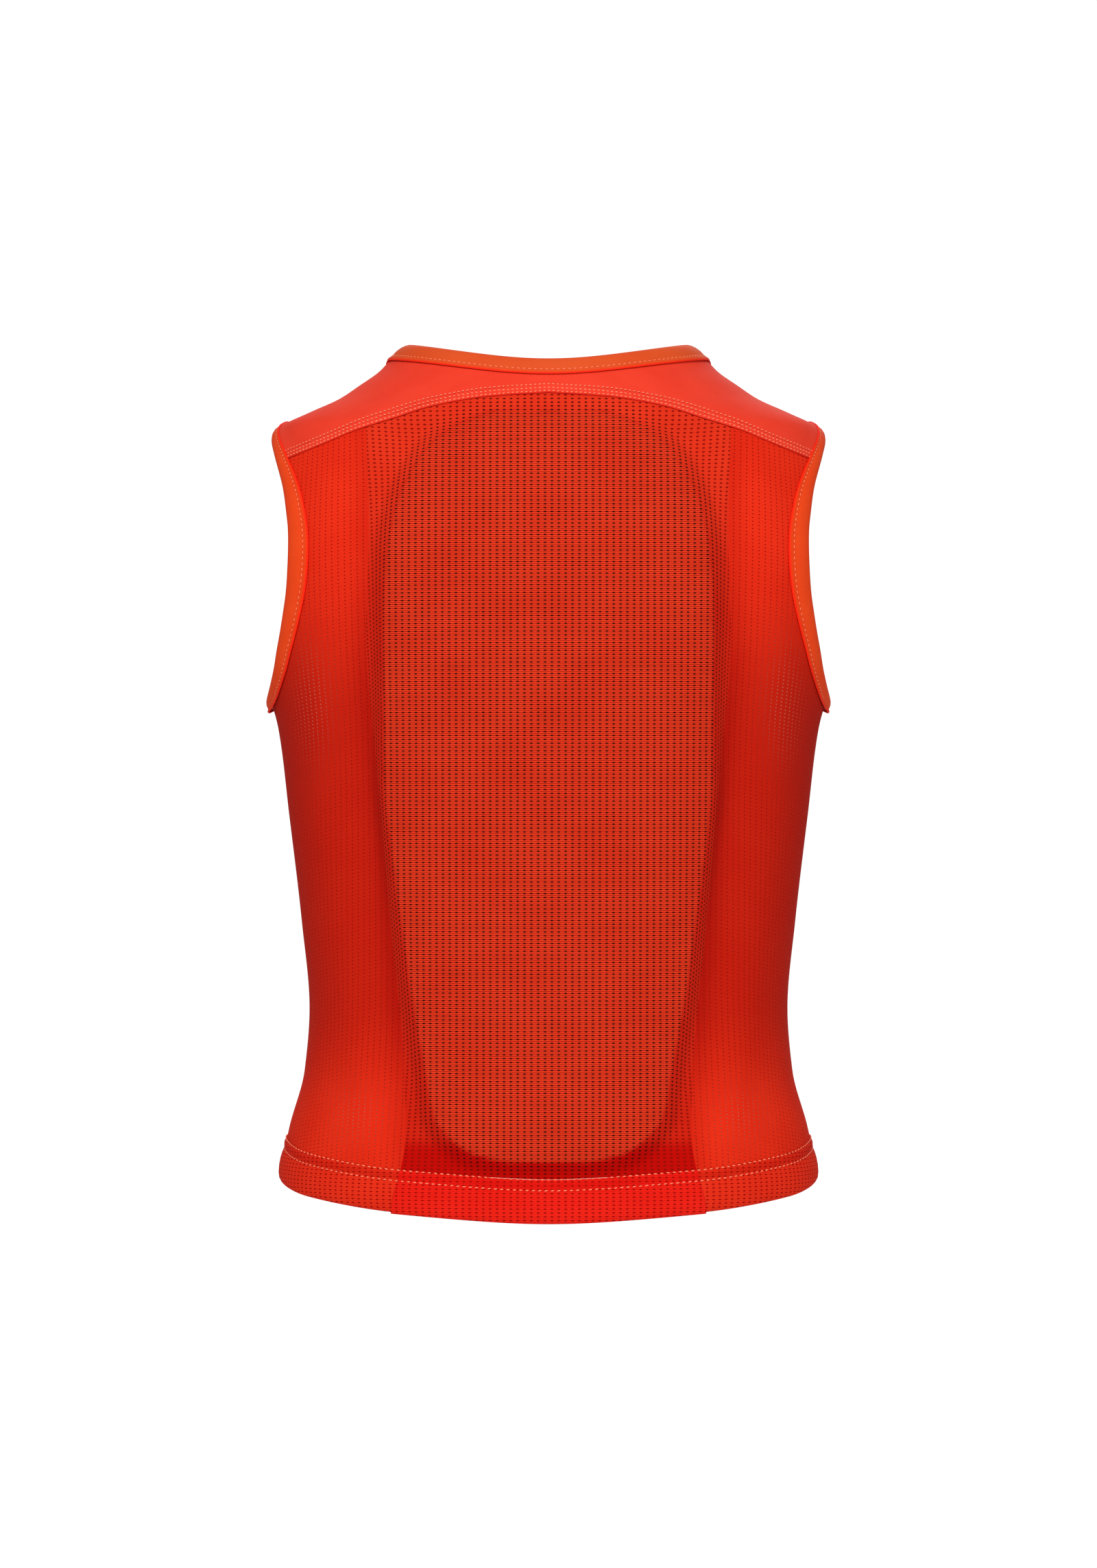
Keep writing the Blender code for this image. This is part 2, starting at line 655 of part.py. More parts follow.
def make_chains():
    left = chain_loop(-1, CHAIN_BOTTOM_LEFT, CHAIN_BOTTOM_LEFT + 1.2)
    right = chain_loop(1, CHAIN_BOTTOM_RIGHT, CHAIN_BOTTOM_LEFT + 1.2 - 1.5 * TOOTH_PITCH)
    plate("zip_chain_left", left, CHAIN_THICK, (0, CHAIN_Y, 0), BLAZE)
    plate("zip_chain_right", right, CHAIN_THICK, (0, CHAIN_Y, 0), BLAZE)
    low, high = CHAIN_Y - TAPE_THICK / 2, CHAIN_Y + TAPE_THICK / 2
    for side, name in ((-1, "left"), (1, "right")):
        near, far = sorted((side * TAPE_INNER, side * TAPE_OUTER))
        block("zip_tape_" + name, (near, low, TAPE_BOTTOM), (far, high, TAPE_TOP), TAPE, 0.8)
        near, far = sorted((side * 0.9, side * 3.0))
        block("top_stop_" + name, (near, CHAIN_Y - 0.9, CHAIN_TOP + 0.5),
              (far, CHAIN_Y + 0.9, CHAIN_TOP + 3.3), ZIP_METAL, 0.35, 1.0, bevel=0.25)


def make_bottom_end():
    """The pin of the left half stands in the socket of the box, which is clamped on the right half."""
    block("insertion_pin", (-2.9, CHAIN_Y - 0.7, 17.5), (-1.3, CHAIN_Y + 0.7, 32.4), ZIP_METAL, 0.35, 1.0,
          bevel=0.25)
    box = block("retainer_box", (-3.6, CHAIN_Y - 1.9, 15.6), (4.6, CHAIN_Y + 1.9, 24.0), ZIP_METAL, 0.35, 1.0,
                bevel=0.5)
    socket = block("box_socket", (-5.0, CHAIN_Y - 1.1, 17.1), (-0.9, CHAIN_Y + 1.1, 26.0), ZIP_METAL)
    combine(box, socket, "DIFFERENCE")


def make_slider():
    """Two plates round the chain, held by a thin post between its halves, with a bail for the tab."""
    low, high = SLIDER_Z - SLIDER_LONG / 2, SLIDER_Z + SLIDER_LONG / 2
    half = SLIDER_WIDE / 2
    front = CHAIN_Y + CHANNEL / 2
    back = CHAIN_Y - CHANNEL / 2
    origin = (0, CHAIN_Y, SLIDER_Z)
    body = block("zip_slider", (-half, front, low), (half, front + PLATE, high), ZIP_METAL, 0.3, 1.0,
                 bevel=0.4, origin=origin)
    rear = block("slider_rear_plate", (-half, back - PLATE, low), (half, back, high), ZIP_METAL, bevel=0.4)
    combine(body, rear, "UNION")
    post = block("slider_post", (-0.33, back - 0.3, high - 4), (0.33, front + 0.3, high - 0.6), ZIP_METAL)
    combine(body, post, "UNION")
    for side in (-1, 1):
        near, far = sorted((side * (half - 1.0), side * (half - 0.1)))
        for y in (front - 0.6, back - 0.4):
            flange = block("slider_flange", (near, y, low + 0.5), (far, y + 1.0, high - 0.5), ZIP_METAL)
            combine(body, flange, "UNION")
    bail = bpy.data.curves.new("slider_bail", "CURVE")
    bail.dimensions = "3D"
    bail.bevel_depth = 0.7 * MM
    bail.bevel_resolution = 2
    bail.use_fill_caps = True
    spline = bail.splines.new("POLY")
    crown = TAB_PIVOT_Y + 1.9
    path = [(3.2, front + 0.3), (3.2, crown - 1.2), (2.8, crown - 0.4), (1.9, crown), (-1.9, crown),
            (-2.8, crown - 0.4), (-3.2, crown - 1.2), (-3.2, front + 0.3)]
    spline.points.add(len(path) - 1)
    for point, (z, y) in zip(spline.points, path):
        point.co = (*to_world(Vector((0, y, SLIDER_Z + z))), 1)
    drawn = bpy.data.objects.new("slider_bail_path", bail)
    bpy.context.scene.collection.objects.link(drawn)
    mesh = bpy.data.meshes.new_from_object(drawn.evaluated_get(bpy.context.evaluated_depsgraph_get()))
    bpy.data.objects.remove(drawn)
    form = bmesh.new()
    form.from_mesh(mesh)
    bmesh.ops.remove_doubles(form, verts=form.verts, dist=1e-5)
    bmesh.ops.recalc_face_normals(form, faces=form.faces)
    form.to_mesh(mesh)
    form.free()
    combine(body, bpy.data.objects.new("slider_bail", mesh), "UNION")


def make_pull():
    """A stamped tab whose top bar turns under the bail, and a moulded grip on its end."""
    pivot = (0, TAB_PIVOT_Y, SLIDER_Z)
    outer = [(-2.6, 0.65), (2.6, 0.65), (2.6, -7.5), (2.0, -9.0), (-2.0, -9.0), (-2.6, -7.5)]
    eye = [(-1.3, -0.65), (-1.3, -5.2), (1.3, -5.2), (1.3, -0.65)]
    tab = plate("pull_tab", outer, 1.2, pivot, ZIP_METAL, 0.3, 1.0)
    combine(tab, plate("pull_tab_eye", eye, 4.0, pivot, ZIP_METAL), "DIFFERENCE")
    block("pull_grip", (-3.5, TAB_PIVOT_Y - 1.5, SLIDER_Z - 25.3), (3.5, TAB_PIVOT_Y + 1.5, SLIDER_Z - 9.3),
          FOAM, 0.6, bevel=0.8, origin=pivot)


def make_wind_flap():
    block("wind_flap", (-12, 77.6, 18), (17, 78.6, 390), BLAZE, 0.85)


make_back_centre()
make_sides()
make_fronts()
make_yoke()
make_bindings()
make_hem()
make_back_plate()
make_lining()
make_flap()
make_labels()
make_chains()
make_bottom_end()
make_slider()
make_pull()
make_wind_flap()
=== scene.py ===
import math

import bpy
import numpy as np
from mathutils import Matrix, Vector


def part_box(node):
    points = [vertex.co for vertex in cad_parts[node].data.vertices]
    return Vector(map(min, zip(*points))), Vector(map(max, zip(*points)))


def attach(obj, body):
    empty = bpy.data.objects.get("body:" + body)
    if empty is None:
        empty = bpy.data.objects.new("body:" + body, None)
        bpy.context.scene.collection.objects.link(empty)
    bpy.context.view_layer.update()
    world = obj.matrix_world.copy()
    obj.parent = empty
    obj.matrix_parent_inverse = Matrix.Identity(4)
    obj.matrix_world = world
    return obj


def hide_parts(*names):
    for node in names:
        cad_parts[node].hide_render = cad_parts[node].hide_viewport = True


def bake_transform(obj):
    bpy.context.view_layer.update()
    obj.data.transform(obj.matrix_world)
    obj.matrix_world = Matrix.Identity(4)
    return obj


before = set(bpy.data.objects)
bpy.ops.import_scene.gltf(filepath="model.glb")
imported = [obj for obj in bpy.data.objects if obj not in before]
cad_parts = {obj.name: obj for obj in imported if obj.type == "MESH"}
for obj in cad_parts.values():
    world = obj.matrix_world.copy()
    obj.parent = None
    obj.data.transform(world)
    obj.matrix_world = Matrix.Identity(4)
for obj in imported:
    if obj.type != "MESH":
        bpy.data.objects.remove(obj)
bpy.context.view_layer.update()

# A sleeveless zip vest with a foam plate in a pocket down its back. Everything is worked out in
# millimetres. Heights count from the lowest point of the hem, and the model's origin is on the shoulders.
# -Y is the wearer's back, +X the wearer's right.
shoulderHeight = 430.0
millimetre = 0.001

bodyShape = {
    "ovalPower": 2.3,
    "halfWidth": [(-5, 143), (17, 139.5), (43, 134.5), (73, 126.5), (105, 124), (150, 128), (205, 134.5),
                  (249, 140), (277, 148.5), (292, 153.5), (313, 158), (334, 160), (356, 156.8), (377, 150),
                  (391, 145.6), (400, 142.5), (406, 138.5), (413, 124.5), (420, 109), (427, 98.5),
                  (434, 88.5), (441, 81.5), (449, 70)],
    "backDepth": [(-5, 88), (40, 86.5), (90, 85), (140, 87), (190, 91), (240, 95), (290, 97.5), (340, 95.5),
                  (375, 90), (400, 82.5), (419, 73.5), (430, 67), (437, 62), (449, 55)],
    "frontDepth": [(-5, 86), (398, 86), (413, 72), (430, 57), (449, 46)],
}

seams = {
    "sideBack": [(-5, 82), (41, 74), (83, 76), (143, 82), (218, 87.5), (263, 93), (293, 94.5), (343, 93),
                 (410, 93)],
    "backYoke": [(0, 419), (31, 417), (58.5, 412.5), (78.5, 407), (94, 402), (116, 393.5), (140, 385)],
    "frontYoke": [(70, 420), (78, 417), (105, 408), (125, 398), (140, 390)],
    "front": 78.0,                 # the straight seam down each front
    "zipEdge": 7.0,                # where the cloth stops beside the zip
    "neckSplit": 121.0,            # the angle where the neck binding's three lengths join
}

neckShape = {
    "top": [(90, 448), (105, 441), (123, 428), (135.5, 413), (150.5, 402), (165, 398), (180, 397)],
    "low": [(90, 439.5), (105, 435), (118, 426), (133.5, 406), (149, 392.5), (165, 388), (180, 387)],
    "backTop": 437.4,
    "backLow": 428.6,
    "tuck": 3.5,                   # how far the cloth reaches up inside the folded binding
}

hemShape = {
    "edge": [(-45, 4.3), (0, 0), (45, 4.3), (69, 10.5), (90, 17), (120, 16.5), (180, 15.5)],
    "band": 21.5,
    "step": 0.9,                   # how far the back's folded edge hangs below its neighbours
}

armholeShape = {"bottom": 266.5, "top": 401.0, "back": 60.5, "front": 59.5,
                "below": 8.0, "above": 7.5, "aside": 8.5, "lowPower": 0.8, "highPower": 1.25,
                "tuck": 0.55}   # how far across the binding the cloth reaches inside it

plateShape = {
    "outline": [(30, 20), (34, 38), (43, 51), (54, 59), (72, 62), (100, 67.5), (140, 73.5), (185, 79.5),
                (222, 83.3), (298, 83.3), (335, 82), (362, 77), (385, 66), (398, 54), (406, 39), (409.5, 27)],
    "ventAcross": 32.0,            # spacing of the vents punched through the foam
    "ventUp": 52.0,
    "ventWide": 5.2,               # a vent's half sizes
    "ventTall": 3.6,
    "ventFirst": 60.0,             # the lowest row's height
    "bevel": 9.0,
}

backHemRise = hemShape["edge"][2][1]       # how high the folded edge lies where the back's side seams end
frontHemRise = hemShape["edge"][-1][1]     # and at the zip
neckFrontLow = neckShape["low"][-1][1]
plateLow, plateHigh = plateShape["outline"][0][0], plateShape["outline"][-1][0]


def smoothCurve(table):
    # one curve through pairs of place and size, which never overshoots its knots
    place = np.array([pair[0] for pair in table], float)
    size = np.array([pair[1] for pair in table], float)
    step = np.diff(size) / np.diff(place)
    both = step[:-1] + step[1:]
    inner = np.where(step[:-1] * step[1:] > 0, 2 * step[:-1] * step[1:] / np.where(both == 0, 1, both), 0)
    slope = np.concatenate([[step[0]], inner, [step[-1]]])
    dense = np.linspace(place[0], place[-1], 1500)
    i = np.clip(np.searchsorted(place, dense, "right") - 1, 0, len(place) - 2)
    wide = place[i + 1] - place[i]
    t = (dense - place[i]) / wide
    bend = slope[i] * (1 - t) - slope[i + 1] * t
    value = size[i] * (1 + 2 * t) * (1 - t) ** 2 + size[i + 1] * t * t * (3 - 2 * t)
    value = value + wide * t * (1 - t) * bend
    return lambda at: np.interp(at, dense, value)


halfWidth = smoothCurve(bodyShape["halfWidth"])
backDepth = smoothCurve(bodyShape["backDepth"])
frontDepth = smoothCurve(bodyShape["frontDepth"])
sideBackSeam = smoothCurve(seams["sideBack"])
backYokeSeam = smoothCurve(seams["backYoke"])
frontYokeSeam = smoothCurve(seams["frontYoke"])
neckTopFront = smoothCurve(neckShape["top"])
neckLowFront = smoothCurve(neckShape["low"])
hemCurve = smoothCurve(hemShape["edge"])
plateHalf = smoothCurve(plateShape["outline"])


def bodyOval(angle, height):
    # a point on the level oval; the angle runs from the middle of the back over +X to the front
    angle, height = np.broadcast_arrays(np.asarray(angle, float), np.asarray(height, float))
    power = bodyShape["ovalPower"]
    turn = np.radians(angle)
    deep = np.where(np.cos(turn) > 0, backDepth(height), frontDepth(height))
    total = np.abs(np.sin(turn) / halfWidth(height)) ** power + np.abs(np.cos(turn) / deep) ** power
    reach = total ** (-1 / power)
    return np.stack([reach * np.sin(turn), -reach * np.cos(turn), height], -1)


def outward(angle, height):
    along = bodyOval(angle + 0.5, height) - bodyOval(angle - 0.5, height)
    up = bodyOval(angle, height + 0.5) - bodyOval(angle, height - 0.5)
    normal = np.cross(along, up)
    return normal / np.linalg.norm(normal, axis=-1, keepdims=True)


def onBody(angle, height, lift=0.0):
    angle, height = np.broadcast_arrays(np.asarray(angle, float), np.asarray(height, float))
    return bodyOval(angle, height) + outward(angle, height) * np.asarray(lift)[..., None]


def ovalShare(part, whole):
    power = bodyShape["ovalPower"]
    return np.maximum(1 - np.abs(part / whole) ** power, 0.0) ** (1 / power)


def backAt(x, height):
    deep = backDepth(height) * ovalShare(x, halfWidth(height))
    return np.degrees(np.arctan2(x, deep)), height + 0.0 * x


def frontAt(x, height):
    deep = frontDepth(height) * ovalShare(x, halfWidth(height))
    return np.degrees(np.arctan2(x, -deep)), height + 0.0 * x


def sideAt(y, height):
    wide = halfWidth(height) * ovalShare(y, np.where(y > 0, frontDepth(height), backDepth(height)))
    return np.degrees(np.arctan2(wide, -y)), height


def hemEdge(angle):
    return hemCurve(np.abs(angle))


def neckEdge(angle, front, backMiddle):
    rise = (front(90.0) - backMiddle) * np.sin(np.radians(angle)) ** 2
    return np.where(np.abs(angle) >= 90, front(np.abs(angle)), backMiddle + rise)


def neckTop(angle):
    return neckEdge(angle, neckTopFront, neckShape["backTop"])


def neckLow(angle):
    return neckEdge(angle, neckLowFront, neckShape["backLow"])


def armEdge(turn, grow=0.0):
    # the +X armhole, from the underarm (0) up the back (90) over the shoulder (180) and down the front
    turn = np.asarray(turn, float)
    bottom = armholeShape["bottom"] - armholeShape["below"] * grow
    top = armholeShape["top"] + armholeShape["above"] * grow
    reach = np.where(turn % 360 < 180, armholeShape["back"], armholeShape["front"])
    reach = reach + armholeShape["aside"] * grow
    height = (bottom + top) / 2 - (top - bottom) / 2 * np.cos(np.radians(turn))
    power = np.where(np.cos(np.radians(turn)) > 0, armholeShape["lowPower"], armholeShape["highPower"])
    swing = np.sin(np.radians(turn))
    return sideAt(-reach * np.sign(swing) * np.abs(swing) ** power, height)


def yokeTurn(seam, low):
    # where round the armhole the binding's outer edge crosses a yoke seam
    high = 180.0
    for _ in range(30):
        turn = (low + high) / 2
        angle, height = armEdge(turn, armholeShape["tuck"])
        if height < seam(bodyOval(angle, height)[0]):
            low = turn
        else:
            high = turn
    return turn


backTurn = yokeTurn(backYokeSeam, 90.0)
frontTurn = yokeTurn(frontYokeSeam, 270.0)
backYokeX = float(bodyOval(*armEdge(backTurn, armholeShape["tuck"]))[0])
frontYokeX = float(bodyOval(*armEdge(frontTurn, armholeShape["tuck"]))[0])

# the length of cloth round the body from the middle of the back, for laying the knit's pattern
girthAngles = np.arange(0, 181.0, 1.0)
girthHeights = np.arange(-8, 453.0, 4.0)
girthPoints = bodyOval(girthAngles[None, :], girthHeights[:, None])
girthSteps = np.linalg.norm(np.diff(girthPoints[..., :2], axis=1), axis=-1)
girthTable = np.concatenate([np.zeros((len(girthHeights), 1)), np.cumsum(girthSteps, axis=1)], axis=1)


def girth(angle, height):
    a = np.clip(np.abs(angle), 0, 179.999)
    h = np.clip((height - girthHeights[0]) / 4.0, 0, len(girthHeights) - 1.001)
    i, j = a.astype(int), h.astype(int)
    s, t = a - i, h - j
    low = girthTable[j, i] * (1 - s) + girthTable[j, i + 1] * s
    high = girthTable[j + 1, i] * (1 - s) + girthTable[j + 1, i + 1] * s
    return np.sign(angle) * (low * (1 - t) + high * t)


def softStep(value, start, end):
    t = np.clip((value - start) / (end - start), 0.0, 1.0)
    return t * t * (3 - 2 * t)


# the plate's outline as a closed line, for how far a point of the back lies inside or outside it
outlineHeights = np.concatenate([np.linspace(plateLow, 60, 16)[:-1], np.linspace(60, 380, 41),
                                 np.linspace(380, plateHigh, 20)[1:]])
outlineRight = np.stack([plateHalf(outlineHeights), outlineHeights], -1)
plateLine = np.concatenate([outlineRight, outlineRight[::-1] * [-1, 1], outlineRight[:1]])


def plateDistance(x, height):
    # less than nothing inside the plate's outline, in millimetres
    x, height = np.broadcast_arrays(x, height)
    point = np.stack([x, height], -1).reshape(-1, 2)
    best = np.full(len(point), 1e9)
    for a, b in zip(plateLine, plateLine[1:]):
        edge = b - a
        t = np.clip(((point - a) @ edge) / (edge @ edge), 0, 1)
        best = np.minimum(best, np.linalg.norm(point - a - t[:, None] * edge, axis=1))
    best = best.reshape(x.shape)
    inside = (np.abs(x) < plateHalf(height)) & (height > plateLow) & (height < plateHigh)
    return np.where(inside, -best, best)


backRelief = {
    "hollow": 5.2,                 # how deep the cloth falls beside the plate
    "fall": 9.0,                   # over this distance from the plate's edge
    "recovery": 38.0,              # and how far out it has risen again
    "evenFall": 0.45,              # the share of the fall that is a straight slope
    "crown": 0.6,                  # how much the plate's middle stands up
}


def relief(angle, height):
    # the back's cloth stands proud on the plate and falls in beside it
    angle, height = np.broadcast_arrays(np.asarray(angle, float), np.asarray(height, float))
    place = bodyOval(angle, height)
    x = np.where(np.abs(angle) < 90, place[..., 0], 200.0)
    away = plateDistance(x, height)
    falling = softStep(away, -0.8, backRelief["fall"]) * (1 - backRelief["evenFall"])
    falling = falling + np.clip(away / backRelief["fall"], 0, 1) * backRelief["evenFall"]
    rising = 1 - softStep(away, backRelief["fall"], backRelief["recovery"])
    low = softStep(height, 14, 26)
    high = 1 - softStep(height, 398, 414)
    depth = backRelief["hollow"] * falling * rising * low * high
    crown = backRelief["crown"] * softStep(-away, 0, 10)
    return np.where(np.abs(angle) < 89, crown - depth, 0.0)


def toWorld(points):
    return (np.asarray(points, float) - [0, 0, shoulderHeight]) * millimetre


def meshObject(name, points, faces, material, sharp=50):
    mesh = bpy.data.meshes.new(name)
    mesh.from_pydata(np.asarray(points, float).tolist(), [], faces)
    mesh.update()
    mesh.shade_smooth()
    if sharp:
        mesh.set_sharp_from_angle(angle=math.radians(sharp))
    obj = bpy.data.objects.new(name, mesh)
    bpy.context.scene.collection.objects.link(obj)
    if material:
        mesh.materials.append(material)
    return obj


def setPattern(obj, pattern):
    # the pattern's place on the cloth, in millimetres, one value for each vertex
    layer = obj.data.uv_layers.new(name="knit")
    index = np.zeros(len(obj.data.loops), np.int32)
    obj.data.loops.foreach_get("vertex_index", index)
    layer.data.foreach_set("uv", np.asarray(pattern, np.float32)[index].ravel())


def setMark(obj, name, values):
    values = np.asarray(values, np.float32)
    kind = "FLOAT" if values.ndim == 1 else "FLOAT_COLOR"
    mark = obj.data.attributes.new(name, kind, "POINT")
    if kind == "FLOAT":
        mark.data.foreach_set("value", values)
    else:
        full = np.concatenate([values, np.ones((len(values), 1), np.float32)], axis=1)
        mark.data.foreach_set("color", full.ravel())


def gridNormals(points, ring=False):
    if ring:
        along = np.roll(points, -1, axis=1) - np.roll(points, 1, axis=1)
    else:
        along = np.gradient(points, axis=1)
    up = np.gradient(points, axis=0)
    normal = np.cross(along, up)
    return normal / np.maximum(np.linalg.norm(normal, axis=-1, keepdims=True), 1e-9)


def sheetMesh(name, points, thick, material, pattern, marks=None, ring=False, flip=False):
    # a closed piece of cloth: a grid of points, and the same grid moved in by its thickness
    tall, wide = points.shape[:2]
    normal = gridNormals(points, ring) * (-1 if flip else 1)
    inner = points - normal * thick
    count = tall * wide
    faces = []
    across = wide if ring else wide - 1
    for j in range(tall - 1):
        for i in range(across):
            k = (i + 1) % wide
            a, b, c, d = j * wide + i, j * wide + k, (j + 1) * wide + k, (j + 1) * wide + i
            faces.append((a, b, c, d) if not flip else (a, d, c, b))
            back = (a + count, d + count, c + count, b + count)
            faces.append(back if not flip else (a + count, b + count, c + count, d + count))
    rims = [[(j, i) for i in range(wide)] + ([(j, 0)] if ring else []) for j in (0, tall - 1)]
    if not ring:
        rims += [[(j, i) for j in range(tall)] for i in (0, wide - 1)]
    for number, rim in enumerate(rims):
        for (j, i), (m, n) in zip(rim, rim[1:]):
            a, b = j * wide + i, m * wide + n
            face = (a, a + count, b + count, b)
            turned = number in (1, 2)
            if turned != flip:
                face = face[::-1]
            faces.append(face)
    everything = np.concatenate([points.reshape(-1, 3), inner.reshape(-1, 3)])
    obj = meshObject(name, toWorld(everything), faces, material)
    flat = np.stack(np.broadcast_arrays(*pattern), -1).reshape(-1, 2)
    setPattern(obj, np.concatenate([flat, flat]))
    for mark, values in (marks or {}).items():
        values = np.asarray(values, float)
        values = np.broadcast_to(values, (tall, wide) + values.shape[2:])
        values = values.reshape((count,) + values.shape[2:])
        setMark(obj, mark, np.concatenate([values, values]))
    return obj


def fourSided(bottom, top, left, right, across, up):
    # a grid of angles and heights between four edge curves, each read from 0 to 1
    u = np.linspace(0, 1, across + 1)[None, :]
    v = np.linspace(0, 1, up + 1)[:, None]
    out = []
    for k in (0, 1):
        low, high = bottom(u)[k], top(u)[k]
        start, end = left(v)[k], right(v)[k]
        b0, b1 = bottom(np.zeros((1, 1)))[k], bottom(np.ones((1, 1)))[k]
        t0, t1 = top(np.zeros((1, 1)))[k], top(np.ones((1, 1)))[k]
        corners = (1 - v) * ((1 - u) * b0 + u * b1) + v * ((1 - u) * t0 + u * t1)
        out.append((1 - v) * low + v * high + (1 - u) * start + u * end - corners)
    return out[0], out[1]


def pathPoints(path, step):
    # a line again, with points evenly spaced along it, and the direction at each
    path = np.asarray(path, float)
    along = np.concatenate([[0], np.cumsum(np.linalg.norm(np.diff(path, axis=0), axis=1))])
    at = np.arange(step / 2, along[-1], step)
    spaced = np.stack([np.interp(at, along, path[:, k]) for k in range(3)], 1)
    ahead = np.stack([np.interp(at + 0.3, along, path[:, k]) for k in range(3)], 1)
    behind = np.stack([np.interp(at - 0.3, along, path[:, k]) for k in range(3)], 1)
    direction = ahead - behind
    return spaced, direction / np.maximum(np.linalg.norm(direction, axis=1, keepdims=True), 1e-9)


def beadShape(rings=5, sides=8):
    # a unit ball, drawn out along X when it is used as a stitch
    points = [(-1.0, 0.0, 0.0)]
    for r in range(1, rings):
        turn = math.pi * r / rings
        for s in range(sides):
            spin = 2 * math.pi * s / sides
            points.append((-math.cos(turn), math.sin(turn) * math.cos(spin), math.sin(turn) * math.sin(spin)))
    points.append((1.0, 0.0, 0.0))
    faces = []
    for s in range(sides):
        n = (s + 1) % sides
        faces.append((0, 1 + n, 1 + s))
        last = 1 + (rings - 2) * sides
        faces.append((len(points) - 1, last + s, last + n))
        for r in range(rings - 2):
            a, b = 1 + r * sides, 1 + (r + 1) * sides
            faces.append((a + s, a + n, b + n, b + s))
    return np.array(points), faces


beadPoints, beadFaces = beadShape()


def stitchMesh(name, rows, look, material):
    # rows of thread stitches: each row gives its line and the cloth's outward direction along it
    points, faces = [], []
    rng = np.random.default_rng(look["seed"])
    for line, normals, tilt in rows:
        line = np.asarray(line, float)
        spaced, direction = pathPoints(line, look["pitch"])
        spots = np.stack([np.interp(np.linspace(0, 1, len(spaced)), np.linspace(0, 1, len(line)), n)
                          for n in np.asarray(normals, float).T], 1)
        for place, ahead, out in zip(spaced, direction, spots):
            side = np.cross(out, ahead)
            side /= max(np.linalg.norm(side), 1e-9)
            out = np.cross(ahead, side)
            lean = tilt + rng.normal(0, 0.05)
            long = math.cos(lean) * ahead + math.sin(lean) * side
            wide = math.cos(lean) * side - math.sin(lean) * ahead
            size = look["long"] / 2 * rng.uniform(0.88, 1.08)
            frame3 = np.array([long * size, wide * look["wide"] / 2, out * look["high"] / 2])
            start = len(points) * len(beadPoints)
            points.append(place + beadPoints @ frame3)
            faces += [tuple(start + v for v in face) for face in beadFaces]
    return meshObject(name, toWorld(np.concatenate(points)), faces, material, sharp=0)


def linearHex(code):
    values = [int(code[i:i + 2], 16) / 255 for i in (1, 3, 5)]
    return [v / 12.92 if v <= 0.04045 else ((v + 0.055) / 1.055) ** 2.4 for v in values]


def rgba(code):
    return (*linearHex(code), 1)


def addNode(tree, kind, settings=None, links=None):
    node = tree.nodes.new("ShaderNode" + kind)
    for name, value in (settings or {}).items():
        if isinstance(name, str) and hasattr(node, name):
            setattr(node, name, value)
        else:
            node.inputs[name].default_value = value
    for name, source in (links or {}).items():
        tree.links.new(source if hasattr(source, "is_output") else source.outputs[0], node.inputs[name])
    return node


def startMaterial(name, look):
    # the look's even values go straight on the shader
    material = bpy.data.materials.new(name)
    material.use_nodes = True
    tree = material.node_tree
    shader = tree.nodes["Principled BSDF"]
    sockets = {"roughness": "Roughness", "metallic": "Metallic", "ior": "IOR", "sheen": "Sheen Weight",
               "sheenSpread": "Sheen Roughness", "specular": "Specular IOR Level"}
    for word, socket in sockets.items():
        if word in look:
            shader.inputs[socket].default_value = look[word]
    if "sheenTint" in look:
        shader.inputs["Sheen Tint"].default_value = rgba(look["sheenTint"])
    return material, tree, shader


def finishMaterial(tree, shader, look, colour, high):
    bump = addNode(tree, "Bump", {"Strength": look["bump"], "Distance": look["relief"] * millimetre},
                   {"Height": high})
    tree.links.new(colour, shader.inputs["Base Color"])
    tree.links.new(bump.outputs[0], shader.inputs["Normal"])


def wearAndPaintedShade(tree, place, look, yarn):
    # fuzz and slow drifts of dye over the yarn's colour, then painted shade: the colour deepens towards the
    # look's deep red wherever the 'shade' mark lies, in the hollows beside the plate, along seams and edges
    # and round the waist
    colour, noises = yarn.outputs[2], []
    for wear in look["wear"]:
        noise = addNode(tree, "TexNoise", {"Scale": 1 / wear["size"], "Detail": wear["detail"],
                                           "Roughness": wear["rough"]}, {"Vector": place})
        fade = addNode(tree, "MapRange", {"From Min": wear["from"], "From Max": wear["to"],
                                          "To Max": wear["most"]}, {"Value": noise})
        mixed = addNode(tree, "Mix", {"data_type": "RGBA", "blend_type": "MULTIPLY", 7: rgba(wear["tint"])},
                        {0: fade, 6: colour})
        colour = mixed.outputs[2]
        noises.append(noise)
    # painted shade: the 'shade' mark blends the colour towards the look's deep red
    shade = addNode(tree, "Attribute", {"attribute_name": "shade"})
    deep = addNode(tree, "Mix", {"data_type": "RGBA", 7: rgba(look["deep"])},
                   {0: shade.outputs["Fac"], 6: colour})
    return deep, noises[0]


